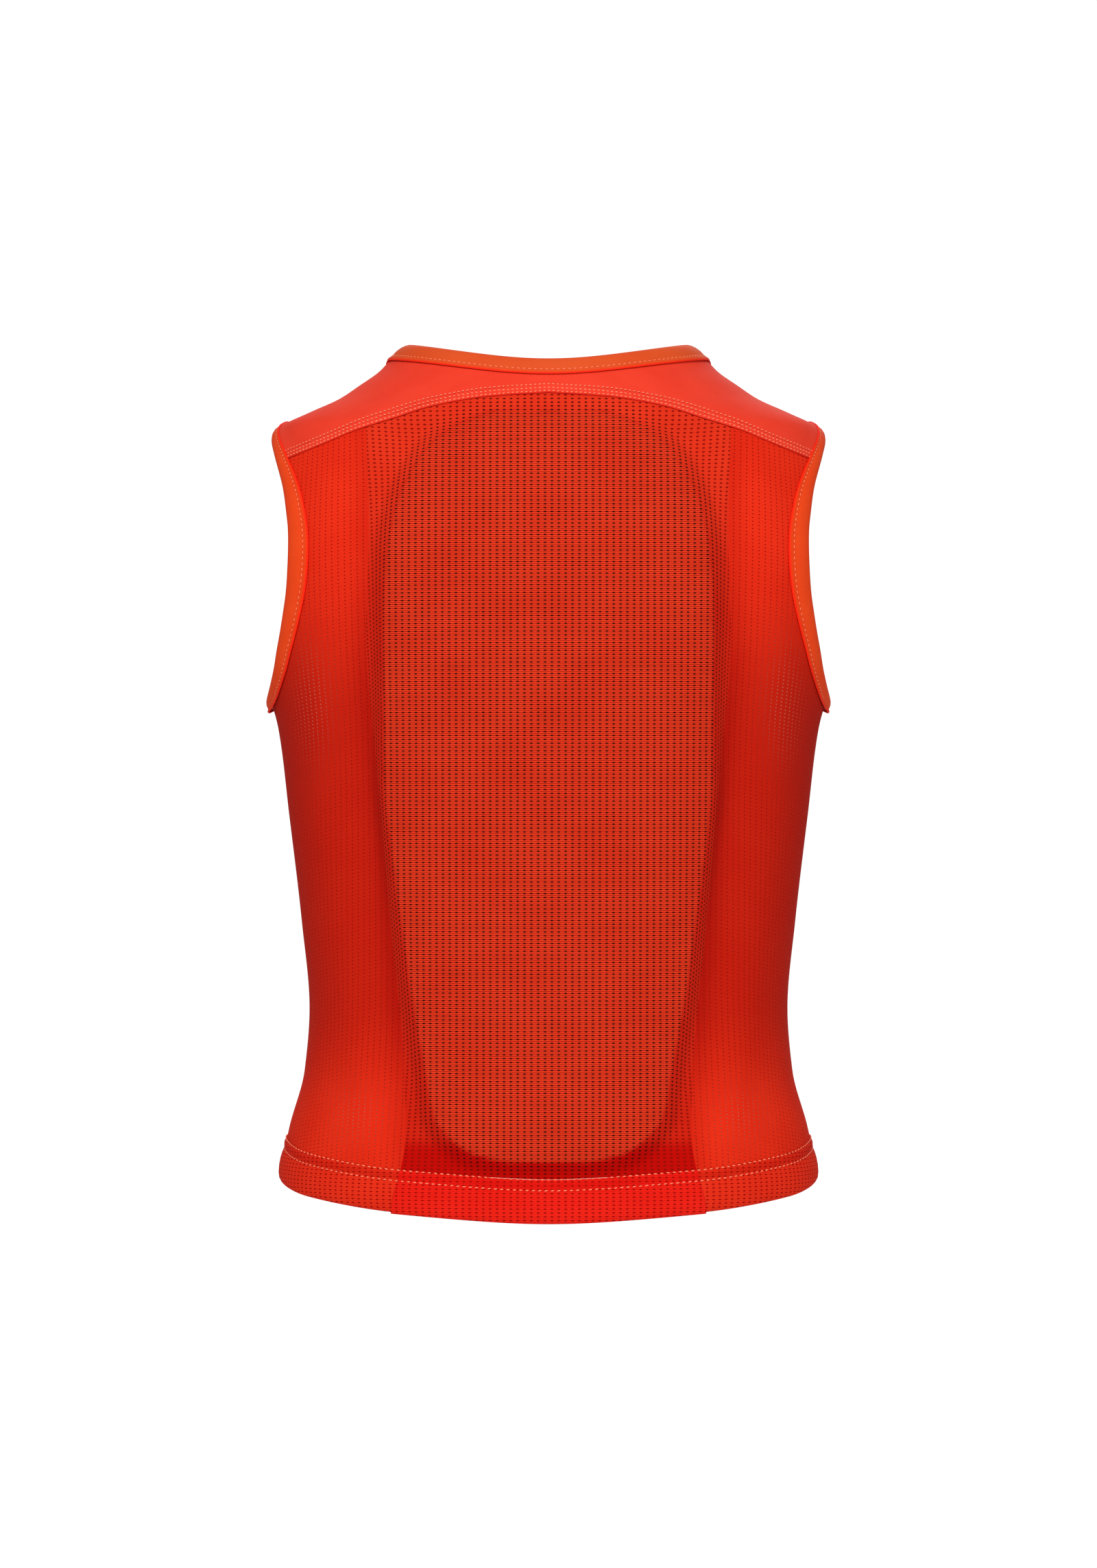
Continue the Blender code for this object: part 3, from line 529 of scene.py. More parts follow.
def meshKnit(name, look):
    # polyester yarn, warp-knitted with rows of open eyelets: matt bars of yarn with dark holes between them
    material, tree, shader = startMaterial(name, look)
    place = addNode(tree, "UVMap", {"uv_map": "knit"})
    masks = []
    for pitch, shift, radius in look["eyelets"]:
        cell = place
        for work, value in (("ADD", (*shift, 0)), ("DIVIDE", (*pitch, 1)), ("FRACTION", (0, 0, 0)),
                            ("SUBTRACT", (0.5, 0.5, 0)),
                            ("MULTIPLY", (pitch[0] / radius[0], pitch[1] / radius[1], 1))):
            cell = addNode(tree, "VectorMath", {"operation": work, 1: value}, {0: cell})
        far = addNode(tree, "VectorMath", {"operation": "LENGTH"}, {0: cell})
        masks.append(addNode(tree, "MapRange", {"interpolation_type": "SMOOTHSTEP", "From Min": 1.3,
                                                "From Max": 0.75}, {"Value": far.outputs["Value"]}))
    opened = addNode(tree, "Attribute", {"attribute_name": "open"})
    small = addNode(tree, "Math", {"operation": "MAXIMUM"}, {0: masks[1], 1: masks[2]})
    small = addNode(tree, "Math", {"operation": "MULTIPLY"}, {0: small, 1: opened.outputs["Fac"]})
    # a darker groove runs along each row of holes, fainter where the cloth isn't stretched open
    parts = addNode(tree, "SeparateXYZ", None, {0: place})
    rowSpacing = look["eyelets"][0][0][1] / 2
    bars = addNode(tree, "Math", {"operation": "MULTIPLY", 1: 2 * math.pi / rowSpacing},
                   {0: parts.outputs["Y"]})
    bars = addNode(tree, "Math", {"operation": "COSINE"}, {0: bars})
    bars = addNode(tree, "MapRange", {"From Min": -1.0, "From Max": 1.0}, {"Value": bars})
    taut = addNode(tree, "MapRange", {"To Min": 0.3}, {"Value": opened.outputs["Fac"]})
    bars = addNode(tree, "Math", {"operation": "MULTIPLY"}, {0: bars, 1: taut})
    yarn = addNode(tree, "Mix", {"data_type": "RGBA", 6: rgba(look["yarn"]), 7: rgba(look["ground"])},
                   {0: bars})
    wornAndShaded, fuzz = wearAndPaintedShade(tree, place, look, yarn)
    # painted shade: the pinholes are coloured a dark red for the shade inside them, not cut
    dots = addNode(tree, "Mix", {"data_type": "RGBA", 7: rgba(look["dots"])}, {0: small, 6: wornAndShaded.outputs[2]})
    # the eyelets are painted, not cut: each takes the 'backing' mark, the colour of what lies behind it
    # together with the shade there
    backing = addNode(tree, "Attribute", {"attribute_name": "backing"})
    colour = addNode(tree, "Mix", {"data_type": "RGBA"},
                     {0: masks[0], 6: dots.outputs[2], 7: backing.outputs["Color"]})
    depth = addNode(tree, "Math", {"operation": "MULTIPLY_ADD", 1: 0.45}, {0: small, 2: masks[0]})
    ridge = addNode(tree, "Math", {"operation": "MULTIPLY", 1: -0.4}, {0: bars})
    high = addNode(tree, "Math", {"operation": "SUBTRACT"}, {0: ridge, 1: depth})
    high = addNode(tree, "Math", {"operation": "MULTIPLY_ADD", 1: 0.18}, {0: fuzz, 2: high})
    finishMaterial(tree, shader, look, colour.outputs[2], high)
    return material


def smoothKnit(name, look):
    # nylon and elastane, knitted as tricot and brushed: even and faintly ribbed, with a soft sheen
    material, tree, shader = startMaterial(name, look)
    place = addNode(tree, "UVMap", {"uv_map": "knit"})
    parts = addNode(tree, "SeparateXYZ", None, {0: place})
    waves = []
    for axis, spacing in (("X", look["waleSpacing"]), ("Y", look["courseSpacing"])):
        wave = addNode(tree, "Math", {"operation": "MULTIPLY", 1: 2 * math.pi / spacing},
                       {0: parts.outputs[axis]})
        waves.append(addNode(tree, "Math", {"operation": "SINE"}, {0: wave}))
    loops = addNode(tree, "Math", {"operation": "MULTIPLY"}, {0: waves[0], 1: waves[1]})
    grain = addNode(tree, "MapRange", {"From Min": -1.0, "From Max": 1.0}, {"Value": loops})
    yarn = addNode(tree, "Mix", {"data_type": "RGBA", 6: rgba(look["ground"]), 7: rgba(look["yarn"])},
                   {0: grain})
    wornAndShaded, fuzz = wearAndPaintedShade(tree, place, look, yarn)
    high = addNode(tree, "Math", {"operation": "MULTIPLY_ADD", 1: 0.5}, {0: loops, 2: fuzz})
    finishMaterial(tree, shader, look, wornAndShaded.outputs[2], high)
    return material


def speckled(name, look):
    # a solid's colour, gloss and bump, from noise laid in the model's own space
    look = {"stretch": (1, 1, 1), "cellShare": 0.5, "relief": 0.3, "wear": 0.05, **look}
    material, tree, shader = startMaterial(name, look)
    place = addNode(tree, "TexCoord")
    sized = addNode(tree, "VectorMath", {"operation": "MULTIPLY", 1: look["stretch"]},
                    {0: place.outputs["Object"]})
    grain = addNode(tree, "TexNoise", {"Scale": 1 / (look["grain"] * millimetre), "Detail": 4.0,
                                       "Roughness": 0.6}, {"Vector": sized})
    cells = addNode(tree, "TexVoronoi", {"Scale": 1 / (look["cells"] * millimetre)}, {"Vector": sized})
    ramp = addNode(tree, "MapRange", {"From Min": 0.35, "From Max": 0.68}, {"Value": grain})
    colour = addNode(tree, "Mix", {"data_type": "RGBA", 6: rgba(look["dark"]), 7: rgba(look["light"])},
                     {0: ramp})
    high = addNode(tree, "Math", {"operation": "MULTIPLY_ADD", 1: look["cellShare"]},
                   {0: cells.outputs["Distance"], 2: grain})
    finishMaterial(tree, shader, look, colour.outputs[2], high)
    gloss = addNode(tree, "MapRange", {"To Min": look["roughness"] - look["wear"],
                                       "To Max": look["roughness"] + look["wear"]}, {"Value": grain})
    tree.links.new(gloss.outputs[0], shader.inputs["Roughness"])
    return material


# Eyelets, each with its spacing, shift and half size in millimetres: the open holes 3.45 apart across and
# 1.94 up, three pinholes between two of them, and five fainter pinholes halfway to the next row.
eyelets = [((3.45, 1.94), (0.0, 0.0), (0.72, 0.39)),
           ((0.8625, 1.94), (0.43125, 0.0), (0.22, 0.22)),
           ((0.69, 1.94), (0.0, 0.97), (0.2, 0.17))]
tightEyelets = [((3.45, 1.94), (0.0, 0.0), (0.4, 0.33)), *eyelets[1:]]

# mesh: matt, since its round yarns scatter the light; the fuzz is 0.6 mm and the dye drifts over 33 mm
meshLook = {
    "roughness": 0.85, "specular": 0.05, "sheen": 0.02, "sheenSpread": 0.45, "sheenTint": "#FF7A4A",
    "relief": 0.4, "bump": 0.4, "eyelets": eyelets,
    "wear": [{"size": 0.625, "detail": 3.0, "rough": 0.6, "from": 0.35, "to": 0.75, "most": 0.5,
              "tint": "#D8BEB6"},
             {"size": 33.3, "detail": 2.0, "rough": 0.5, "from": 0.4, "to": 0.65, "most": 1.0,
              "tint": "#FAECE8"}],
}
# tricot: its real loops are 0.35 mm, too fine to show, so they are drawn twice as coarse
tricotLook = {
    "roughness": 0.7, "specular": 0.08, "sheen": 0.02, "sheenSpread": 0.45, "sheenTint": "#FF7A4A",
    "relief": 0.2, "bump": 0.25, "waleSpacing": 0.7, "courseSpacing": 0.8,
    "wear": [{"size": 0.455, "detail": 3.0, "rough": 0.65, "from": 0.35, "to": 0.75, "most": 0.6,
              "tint": "#E4CCC4"},
             {"size": 28.6, "detail": 2.0, "rough": 0.5, "from": 0.4, "to": 0.65, "most": 1.0,
              "tint": "#FBF0EC"}],
}

# each cloth's deep colour is the red that its painted shade darkens it towards
# the middle of the back: stretched over the black plate, so its holes read dark between bright bars
meshCloth = meshKnit("polyester_mesh_warp_knitted", {
    **meshLook, "ground": "#B81808", "yarn": "#F04524", "deep": "#B20400", "dots": "#780602", "bump": 0.7})
# the sides and fronts: the same knit less open, nearly plain to the eye
sideCloth = meshKnit("polyester_mesh_fine_knitted", {
    **meshLook, "ground": "#CC200C", "yarn": "#E63015", "deep": "#A00C03", "dots": "#A01004",
    "eyelets": tightEyelets})
# the hem: two layers of mesh, so red shows through the holes and the colour is full
hemCloth = meshKnit("polyester_mesh_folded_double", {
    **meshLook, "ground": "#DC1408", "yarn": "#F0281A", "deep": "#C40000", "dots": "#B00500"})
sideHemCloth = meshKnit("polyester_mesh_folded_side", {
    **meshLook, "ground": "#DE2C12", "yarn": "#F03A1E", "deep": "#B40C02", "dots": "#B00500"})
# the yoke: brushed tricot, the smoothest and palest red
yokeCloth = smoothKnit("elastane_tricot_brushed", {
    **tricotLook, "ground": "#DE3824", "yarn": "#E8422C", "deep": "#C00C02", "roughness": 0.75})
# the bindings: folded elastane tape, more orange; their deep red is painted along the lower edge, for the
# shade under the band's lip and the light that comes red through the thin cloth there
neckCloth = smoothKnit("elastane_binding_folded", {
    **tricotLook, "ground": "#D04A1C", "yarn": "#D85626", "deep": "#F00800"})
armCloth = smoothKnit("elastane_binding_armhole", {
    **tricotLook, "ground": "#DE4012", "yarn": "#E64A1A", "deep": "#F00800"})

# polyester thread, spun and dyed a shade paler than the cloth, so each stitch reads as a light dash
thread = speckled("polyester_thread_spun", {
    "dark": "#F0704C", "light": "#FF9470", "grain": 0.333, "cells": 0.4, "bump": 0.3, "roughness": 0.6})
# closed-cell nitrile foam, moulded: matt black skin with a faint pebble
shellFoam = speckled("nitrile_foam_moulded", {
    "dark": "#17110F", "light": "#2A2321", "grain": 2.5, "cells": 1.11, "bump": 0.5, "roughness": 0.85})
# polyurethane foam, sliced: open cells that scatter the light
softFoam = speckled("polyurethane_foam_sliced", {
    "dark": "#4A4B4E", "light": "#6C6D70", "grain": 1.67, "cells": 0.83, "bump": 0.9, "roughness": 0.95})
# nylon hook-and-loop tape, woven: a dense black pile
pileTape = speckled("nylon_hook_and_loop_woven", {
    "dark": "#1A1516", "light": "#3A3234", "grain": 1.11, "cells": 0.67, "bump": 1.0, "relief": 0.6,
    "roughness": 0.9})
# polyester satin, woven and heat cut: a pale label with a slight gloss
labelCloth = speckled("polyester_satin_woven", {
    "dark": "#DADAD6", "light": "#F2F2EE", "grain": 1.11, "cells": 0.625, "stretch": (0.2, 1, 4),
    "bump": 0.25, "roughness": 0.45})
# polyester zip tape, woven in a herringbone: matt red with a fine rib
tapeCloth = speckled("polyester_tape_woven", {
    "dark": "#C42412", "light": "#E03A20", "grain": 0.83, "cells": 0.556, "stretch": (1, 1, 0.35),
    "bump": 0.6, "roughness": 0.8})
# acetal zip teeth, injection moulded on the tape: smooth, slightly glossy, dyed to match
toothPlastic = speckled("acetal_teeth_moulded", {
    "dark": "#D8301A", "light": "#E83C22", "grain": 3.33, "cells": 2.0, "bump": 0.06, "roughness": 0.35,
    "ior": 1.48})
# zinc alloy, die cast and nickel plated: bright grey with faint polishing marks
zipMetal = speckled("zinc_alloy_nickel_plated", {
    "dark": "#A4A4A8", "light": "#C4C4C8", "grain": 2.0, "cells": 1.11, "stretch": (1, 1, 5), "bump": 0.05,
    "roughness": 0.28, "metallic": 1.0, "wear": 0.08})
# thermoplastic rubber, moulded: soft black with a dull sheen
gripRubber = speckled("thermoplastic_rubber_moulded", {
    "dark": "#141213", "light": "#242122", "grain": 1.43, "cells": 0.67, "bump": 0.2, "roughness": 0.6})
print("materials made")


frontHinge = {
    "depth": 0.92,                 # how far forward the line lies, as a share of the body's depth
    "start": 88.0,                 # cloth further aside than this stays with the back
    "end": 57.0,                   # cloth nearer the zip than this swings with the front
    "lean": 6.0,                   # the line leans forwards, so the cloth behind the wearer stays put
    "height": -200.0,
}


def hingeCloth(obj):
    # cloth that crosses a front seam: its transform is baked into its mesh, and nothing here bends it when
    # the front opens
    deep = float(frontDepth(200.0)) * frontHinge["depth"]
    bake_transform(obj)


def holeMarks(pale):
    # painted: what shows through the eyelets of a single layer, the red cloth behind in its shade, paler
    # where light comes through
    red, light = np.array(linearHex("#8C0A02")), np.array(linearHex("#DC8068"))
    return red + (light - red) * pale[..., None]


def evenMarks(code, shape):
    return np.array(linearHex(code)) + np.zeros(shape + (3,))


def declareCut(obj):
    # the vest's cloth is cut smaller than it is worn, by the share that it stretches, and half the surface of
    # a closed piece of cloth is the cloth itself; this only reads the area of each face, and nothing uses it
    sizes = np.zeros(len(obj.data.polygons))
    obj.data.polygons.foreach_get("area", sizes)


def place(obj, body, node=None, slot=None):
    # rides on a body, or, where the body's name says it crosses a front seam, only has its transform baked in
    if body.startswith("hinge_"):
        hingeCloth(obj)
    else:
        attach(obj, body)
    if node:
        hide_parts(node)


def hemLine(start, end, rise):
    return lambda t: (start + (end - start) * t, hemEdge(start + (end - start) * t) + rise)


def seamFoot(rise):
    height = backHemRise + rise
    return float(backAt(sideBackSeam(height), height)[0])


def frontFoot(x, rise):
    return float(frontAt(x, frontHemRise + rise)[0])


def yokeLine(seam, start, end, at):
    return lambda t: at(start + (end - start) * t, seam(np.abs(start + (end - start) * t)))


def seamCurve(width, low, high, at):
    return lambda t: at(width(low + (high - low) * t), low + (high - low) * t)


def joined(first, second, corner):
    def both(t):
        a = first(np.clip(t / corner, 0, 1))
        b = second(np.clip((t - corner) / (1 - corner), 0, 1))
        return np.where(t <= corner, a[0], b[0]), np.where(t <= corner, a[1], b[1])
    return both


def straightUp(low, high):
    return lambda t: (90.0 + 0 * t, low + (high - low) * t)


seamFootTop = seamFoot(hemShape["band"])
seamHead = 402.3                   # where the side seam of the back meets the yoke
underarm = armholeShape["bottom"] - armholeShape["below"] * armholeShape["tuck"]


seamGroove = {"depth": 0.45, "reach": 1.6}


def bodySheet(name, angle, height, look, material, marks, pattern):
    # a panel on the body, drawn down along the upright seams at its first and last columns
    level = bodyOval(angle, height)
    dip = np.zeros(angle.shape)
    for edge in (level[:, :1], level[:, -1:]):
        away = np.linalg.norm(level - edge, axis=-1)
        dip = np.maximum(dip, seamGroove["depth"] * np.exp(-(away / seamGroove["reach"]) ** 2))
    points = onBody(angle, height, relief(angle, height) - dip)
    return sheetMesh(name, points, look["thick"], material, pattern, marks)


def mirrored(side, angle, *grids):
    # the same grid for the left of the body
    if side == "right":
        return (angle, *grids)
    return (-angle[:, ::-1], *[grid[:, ::-1] for grid in grids])


# The back's middle panel is stretched over the plate, and the knit is drawn aside and upwards next to it.
backPanel = {
    "thick": 1.1, "across": 96, "up": 200, "cut": (196, 412),
    "spread": 0.75, "slant": 0.7, "drawn": 16.0, "drawnLow": (30, 150), "drawnHigh": (250, 404),
    # painted shade: the colour deepens in the hollow beside the plate and just above the hem, less near the
    # shoulders
    "shade": 0.72,                 # how far the colour deepens beside the plate, and how much less
    "shadeLess": 0.3,              # of that is left near the shoulders
    # painted shade: over a vent the pinholes show darker, for the dark hollow behind them
    "ventOpen": 1.8,               # pinholes show more where a vent of the plate lies behind
    # painted, as seen through the holes: the black plate in its shade, nothing but shade inside a vent, and
    # beside the plate the red cloth behind in its shade
    "overPlate": "#2A0402", "shadowInVent": "#040000", "besidePlate": "#8A0A02",   # seen through the holes
}


def ventMask(x, height):
    # true where a vent of the plate lies behind the cloth, on staggered rows
    rowStep = plateShape["ventUp"] / 2
    row = np.floor((height - plateShape["ventFirst"]) / rowStep)
    away = np.abs((x / plateShape["ventAcross"] + 0.5 * (row % 2)) % 1 - 0.5) * plateShape["ventAcross"]
    up = np.abs((height - plateShape["ventFirst"]) / rowStep % 1 - 0.5) * rowStep
    return (away / plateShape["ventWide"]) ** 2 + (up / plateShape["ventTall"]) ** 2 < 1


def makeBackPanel():
    look = backPanel
    foot = backHemRise + hemShape["band"]
    right = seamCurve(sideBackSeam, foot, seamHead, backAt)
    left = seamCurve(lambda h: -sideBackSeam(h), foot, seamHead, backAt)
    angle, height = fourSided(hemLine(-seamFootTop, seamFootTop, hemShape["band"]),
                              yokeLine(backYokeSeam, -93, 93, backAt), left, right,
                              look["across"], look["up"])
    x = bodyOval(angle, height)[..., 0]
    away = plateDistance(x, height)
    drawn = np.clip(away, 0, look["drawn"]) * softStep(height, *look["drawnLow"])
    drawn = drawn * (1 - softStep(height, *look["drawnHigh"]))
    u = girth(angle, height)
    pattern = (u + np.sign(u) * look["spread"] * drawn, height + look["slant"] * drawn)
    vents = ventMask(x, height)
    # painted: the colour seen through each eyelet, black over the plate, the shade inside its vents, and
    # further aside the shaded red cloth behind
    over, vent, beside = [np.array(linearHex(look[part]))
                          for part in ("overPlate", "shadowInVent", "besidePlate")]
    fading = softStep(away, 1, 13)[..., None]
    holes = np.where(vents[..., None], vent, over) * (1 - fading) + beside * fading
    # painted shade: deepest just above the hem, lighter towards the shoulders, and only outside the plate
    deepest = 1 - softStep(height, 34, 60)
    paler = look["shadeLess"] * softStep(height, 300, 390)
    marks = {"open": (1 - softStep(away, -1, 2)) * np.where(vents, look["ventOpen"], 1.0),
             "shade": softStep(away, -1.5, 0.5) * np.maximum(look["shade"] - paler, deepest),
             "backing": holes}
    obj = bodySheet("back_centre_mesh", angle, height, look, meshCloth, marks, pattern)
    declareCut(obj)
    place(obj, "root", "back_centre_panel", "mesh_knit")


makeBackPanel()
print("back panel made")

# The sides and fronts are cut in the finer mesh. Above the hem and near the armholes it is stretched thin.
sidePanel = {"thick": 1.1, "across": 44, "up": 170, "cut": (112, 412), "pitchScale": 1.05, "slant": 0.15}
frontPanel = {"thick": 1.1, "across": 60, "up": 190, "cut": (86, 420), "pitchScale": 1.05, "slant": 0.0}
# painted light and shade on the sides and fronts: paler holes where light comes through the thin cloth, and
# deeper colour round the waist, at the flank and at the seam with the back
sideLightAndShade = {
    "lightThroughLow": ((52, 16), (98, 14), 0.4),      # height and reach, distance aside and reach, and how pale
    "lightThroughHigh": ((262, 30), (121, 10), 0.55),
    "waist": 0.6,                              # how far the colour deepens round the waist,
    "flank": 0.2,                              # at the flank
    "seam": 0.3,                               # and at the seam with the back
    "open": 0.25,                              # how far the pinholes show
}


def sidePattern(angle, height, look):
    u = girth(angle, height) * look["pitchScale"]
    return u, height * look["pitchScale"] + look["slant"] * np.abs(u)


def sideMarks(angle, height):
    x = np.abs(bodyOval(angle, height)[..., 0])
    # painted light: paler holes where light comes through the thin cloth above the hem and near the armholes
    pale = np.zeros(x.shape)
    for name in ("lightThroughLow", "lightThroughHigh"):
        (level, tall), (aside, wide), share = sideLightAndShade[name]
        pale = pale + share * np.exp(-((height - level) / tall) ** 2) * np.exp(-((x - aside) / wide) ** 2)
    behind = np.abs(angle) < 92
    # painted shade: the colour deepens round the waist, at the flank and in the seam with the back, where
    # less light falls
    waist = softStep(height, 45, 110) * (1 - softStep(height, 240, 350)) * sideLightAndShade["waist"]
    flank = softStep(x, 112, 140) * (1 - softStep(height, 330, 390)) * sideLightAndShade["flank"]
    seam = np.exp(-((x - sideBackSeam(height)) / 7) ** 2) * behind * sideLightAndShade["seam"]
    shade = np.clip(waist + flank + seam, 0, 0.9) * (np.abs(angle) < 115)
    return {"open": sideLightAndShade["open"], "shade": shade, "backing": holeMarks(np.clip(pale, 0, 1) * behind)}


def sidePiece(part, side, grid, look, body):
    angle, height = mirrored(side, *grid)
    obj = bodySheet(f"{part}_mesh_{side}", angle, height, look, sideCloth, sideMarks(angle, height),
                    sidePattern(angle, height, look))
    declareCut(obj)
    place(obj, body, f"{part}_panel_{side}", "mesh_knit")


def frontSeamLine(x, low, high):
    return seamCurve(lambda h: x + 0 * h, low, high, frontAt)


def makeSides():
    low = float(hemEdge(90)) + hemShape["band"]
    tuck = armholeShape["tuck"]
    corner = 10 / 18               # the share of the grid's rows that lie below the underarm
    seam = seamCurve(sideBackSeam, backHemRise + hemShape["band"], seamHead, backAt)
    rising = joined(straightUp(low, underarm), lambda t: armEdge(backTurn * t, tuck), corner)
    back = fourSided(hemLine(seamFootTop, 90, hemShape["band"]),
                     yokeLine(backYokeSeam, 93, backYokeX, backAt), seam, rising,
                     sidePanel["across"], sidePanel["up"])
    foot = frontFoot(seams["front"], hemShape["band"])
    frontEdge = frontSeamLine(seams["front"], float(hemEdge(foot)) + hemShape["band"],
                              float(frontYokeSeam(seams["front"])))
    rising = joined(straightUp(low, underarm), lambda t: armEdge(360 - (360 - frontTurn) * t, tuck), corner)
    front = fourSided(hemLine(90, foot, hemShape["band"]),
                      yokeLine(frontYokeSeam, frontYokeX, seams["front"], frontAt), rising, frontEdge,
                      sidePanel["across"], sidePanel["up"])
    for side in ("right", "left"):
        sidePiece("side_back", side, back, sidePanel, "root")
        sidePiece("side_front", side, front, sidePanel, "hinge_" + side)


def makeFronts():
    feet, heads, edges = [], [], []
    for x, level in ((seams["front"], 426.0), (seams["zipEdge"], neckFrontLow)):
        feet.append(frontFoot(x, hemShape["band"]))
        heads.append(float(frontAt(x, level)[0]))
        edges.append(frontSeamLine(x, float(hemEdge(feet[-1])) + hemShape["band"],
                                   float(neckLow(heads[-1])) + neckShape["tuck"]))

    def neckLine(t):
        angle = heads[0] + (heads[1] - heads[0]) * t
        return angle, neckLow(angle) + neckShape["tuck"]

    grid = fourSided(hemLine(*feet, hemShape["band"]), neckLine, *edges, frontPanel["across"],
                     frontPanel["up"])
    for side in ("right", "left"):
        sidePiece("front", side, grid, frontPanel, "hinge_" + side)


makeSides()
makeFronts()
print("side and front panels made")


# The yoke goes over both shoulders in one piece, and its turned edge stands proud of the panels below.
yokePiece = {"thick": 1.1, "rows": 26, "cut": (330, 110), "edgeLift": 0.55, "edgeBand": 5.5}


def makeYoke():
    outer, inner = [], []

    def stretch(curve, count, start, end, last=False):
        t = np.linspace(0, 1, count + 1)[:None if last else -1]
        angle, height = curve(t)
        outer.append(np.stack([angle, height], -1))
        turn = start + (end - start) * t
        inner.append(np.stack([turn, neckLow(turn) + neckShape["tuck"]], -1))

    # each length of the outer edge is paired with a length of the neck, from one angle to another
    stretch(yokeLine(backYokeSeam, 0.0, backYokeX, backAt), 60, 0, 62)
    stretch(lambda t: armEdge(backTurn + (frontTurn - backTurn) * t, armholeShape["tuck"]), 48, 62, 100)
    stretch(yokeLine(frontYokeSeam, frontYokeX, seams["front"], frontAt), 34, 100, 117, last=True)
    outer, inner = np.concatenate(outer), np.concatenate(inner)
    outer = np.concatenate([outer[:0:-1] * [-1, 1], outer])
    inner = np.concatenate([inner[:0:-1] * [-1, 1], inner])
    t = np.linspace(0, 1, yokePiece["rows"] + 1) ** 1.15
    grid = outer[None] * (1 - t[:, None, None]) + inner[None] * t[:, None, None]
    angle, height = grid[..., 0], grid[..., 1]
    flatPlace = bodyOval(angle, height)
    away = np.linalg.norm(flatPlace - flatPlace[:1], axis=-1)
    seamed = (1 - softStep(away, yokePiece["edgeBand"], yokePiece["edgeBand"] + 2)) * yokePiece["edgeLift"]
    points = onBody(angle, height, relief(angle, height) + seamed)
    # painted shade: a thin deeper line along the yoke's raised seam edge
    shade = np.exp(-(away / 0.9) ** 2) * 0.8
    obj = sheetMesh("shoulder_yoke_tricot", points, yokePiece["thick"], yokeCloth,
                    (girth(angle, height), away), {"shade": shade})
    declareCut(obj)
    place(obj, "root", "shoulder_yoke", "plain_knit")


makeYoke()
print("yoke made")


# The bindings are strips folded over each raw edge. A profile goes up the outside, over the fold and down
# the inside: the place across the finished band, and how far the cloth stands off the body.
neckBand = {"thick": 0.75, "stretch": 1.1, "wide": 26, "longBack": 330, "longFront": 96,
            "profile": [(0.0, 0.9), (0.05, 1.35), (0.14, 1.5), (0.26, 1.1), (0.34, 1.35), (0.5, 1.8),
                        (0.68, 1.9), (0.82, 1.6), (0.93, 1.0), (0.985, 0.2), (1.0, -0.6), (0.985, -1.3),
                        (0.9, -1.9), (0.7, -2.2), (0.45, -2.3), (0.2, -2.1)]}
armBand = {"thick": 0.75, "stretch": 1.1, "cut": (21, 440), "around": 180, "lap": 2.2, "lapReach": 14,
           "profile": [(0.0, 0.8), (0.05, 1.25), (0.13, 1.35), (0.24, 0.95), (0.34, 1.3), (0.5, 1.7),
                       (0.7, 1.7), (0.85, 1.3), (0.94, 0.7), (0.985, 0.0), (1.0, -0.8), (0.985, -1.4),
                       (0.9, -1.9), (0.7, -2.2), (0.45, -2.2), (0.2, -2.0)]}


def bandGrid(low, high, turns, profile):
    # low and high give the band's two edges as angle and height at each turn
    lowAngle, lowHeight = low(turns)
    highAngle, highHeight = high(turns)
    across = np.array([p for p, _ in profile])[:, None]
    lifts = np.array([q for _, q in profile])[:, None]
    angle = lowAngle + (highAngle - lowAngle) * across
    height = lowHeight + (highHeight - lowHeight) * across
    return angle, height, lifts + 0 * angle, across + 0 * angle


def bandShade(across, count):
    # painted shade and glow: a saturated red line along the band's lower edge under the stitching, for the
    # shade there and the light coming red through the thin cloth; on the outside only
    line = np.exp(-(across / 0.07) ** 2)
    line[count // 2 + 3:] = 0
    return line * 0.95


def neckLengths():
    # the neck binding's three lengths: the name, where each starts and ends, and the body it moves with
    split = seams["neckSplit"]
    end = float(frontAt(seams["zipEdge"], neckFrontLow)[0])
    return (("back", -split, split, "root"), ("right", split, end, "hinge_right"),
            ("left", -end, -split, "hinge_left"))


def makeNeckBinding():
    look = neckBand
    for name, start, finish, body in neckLengths():
        name = name if name == "back" else "front_" + name
        count = 240 if name == "back" else 80
        turns = np.linspace(start, finish, count + 1)[None, :]
        angle, height, lifts, across = bandGrid(lambda a: (a, neckLow(a)), lambda a: (a, neckTop(a)), turns,
                                                look["profile"])
        points = onBody(angle, height, lifts + relief(angle, height) * 0.5)
        obj = sheetMesh(f"neck_binding_{name}_folded", points, look["thick"], neckCloth,
                        (girth(angle, height), across * 10), {"shade": bandShade(across, len(lifts))})
        declareCut(obj)
        place(obj, body, f"neck_binding_{name}", "binding")


def armLow(turn):
    # the binding's outer edge; its lapped end hangs a little below the underarm
    return armEdge(turn, 1.0)


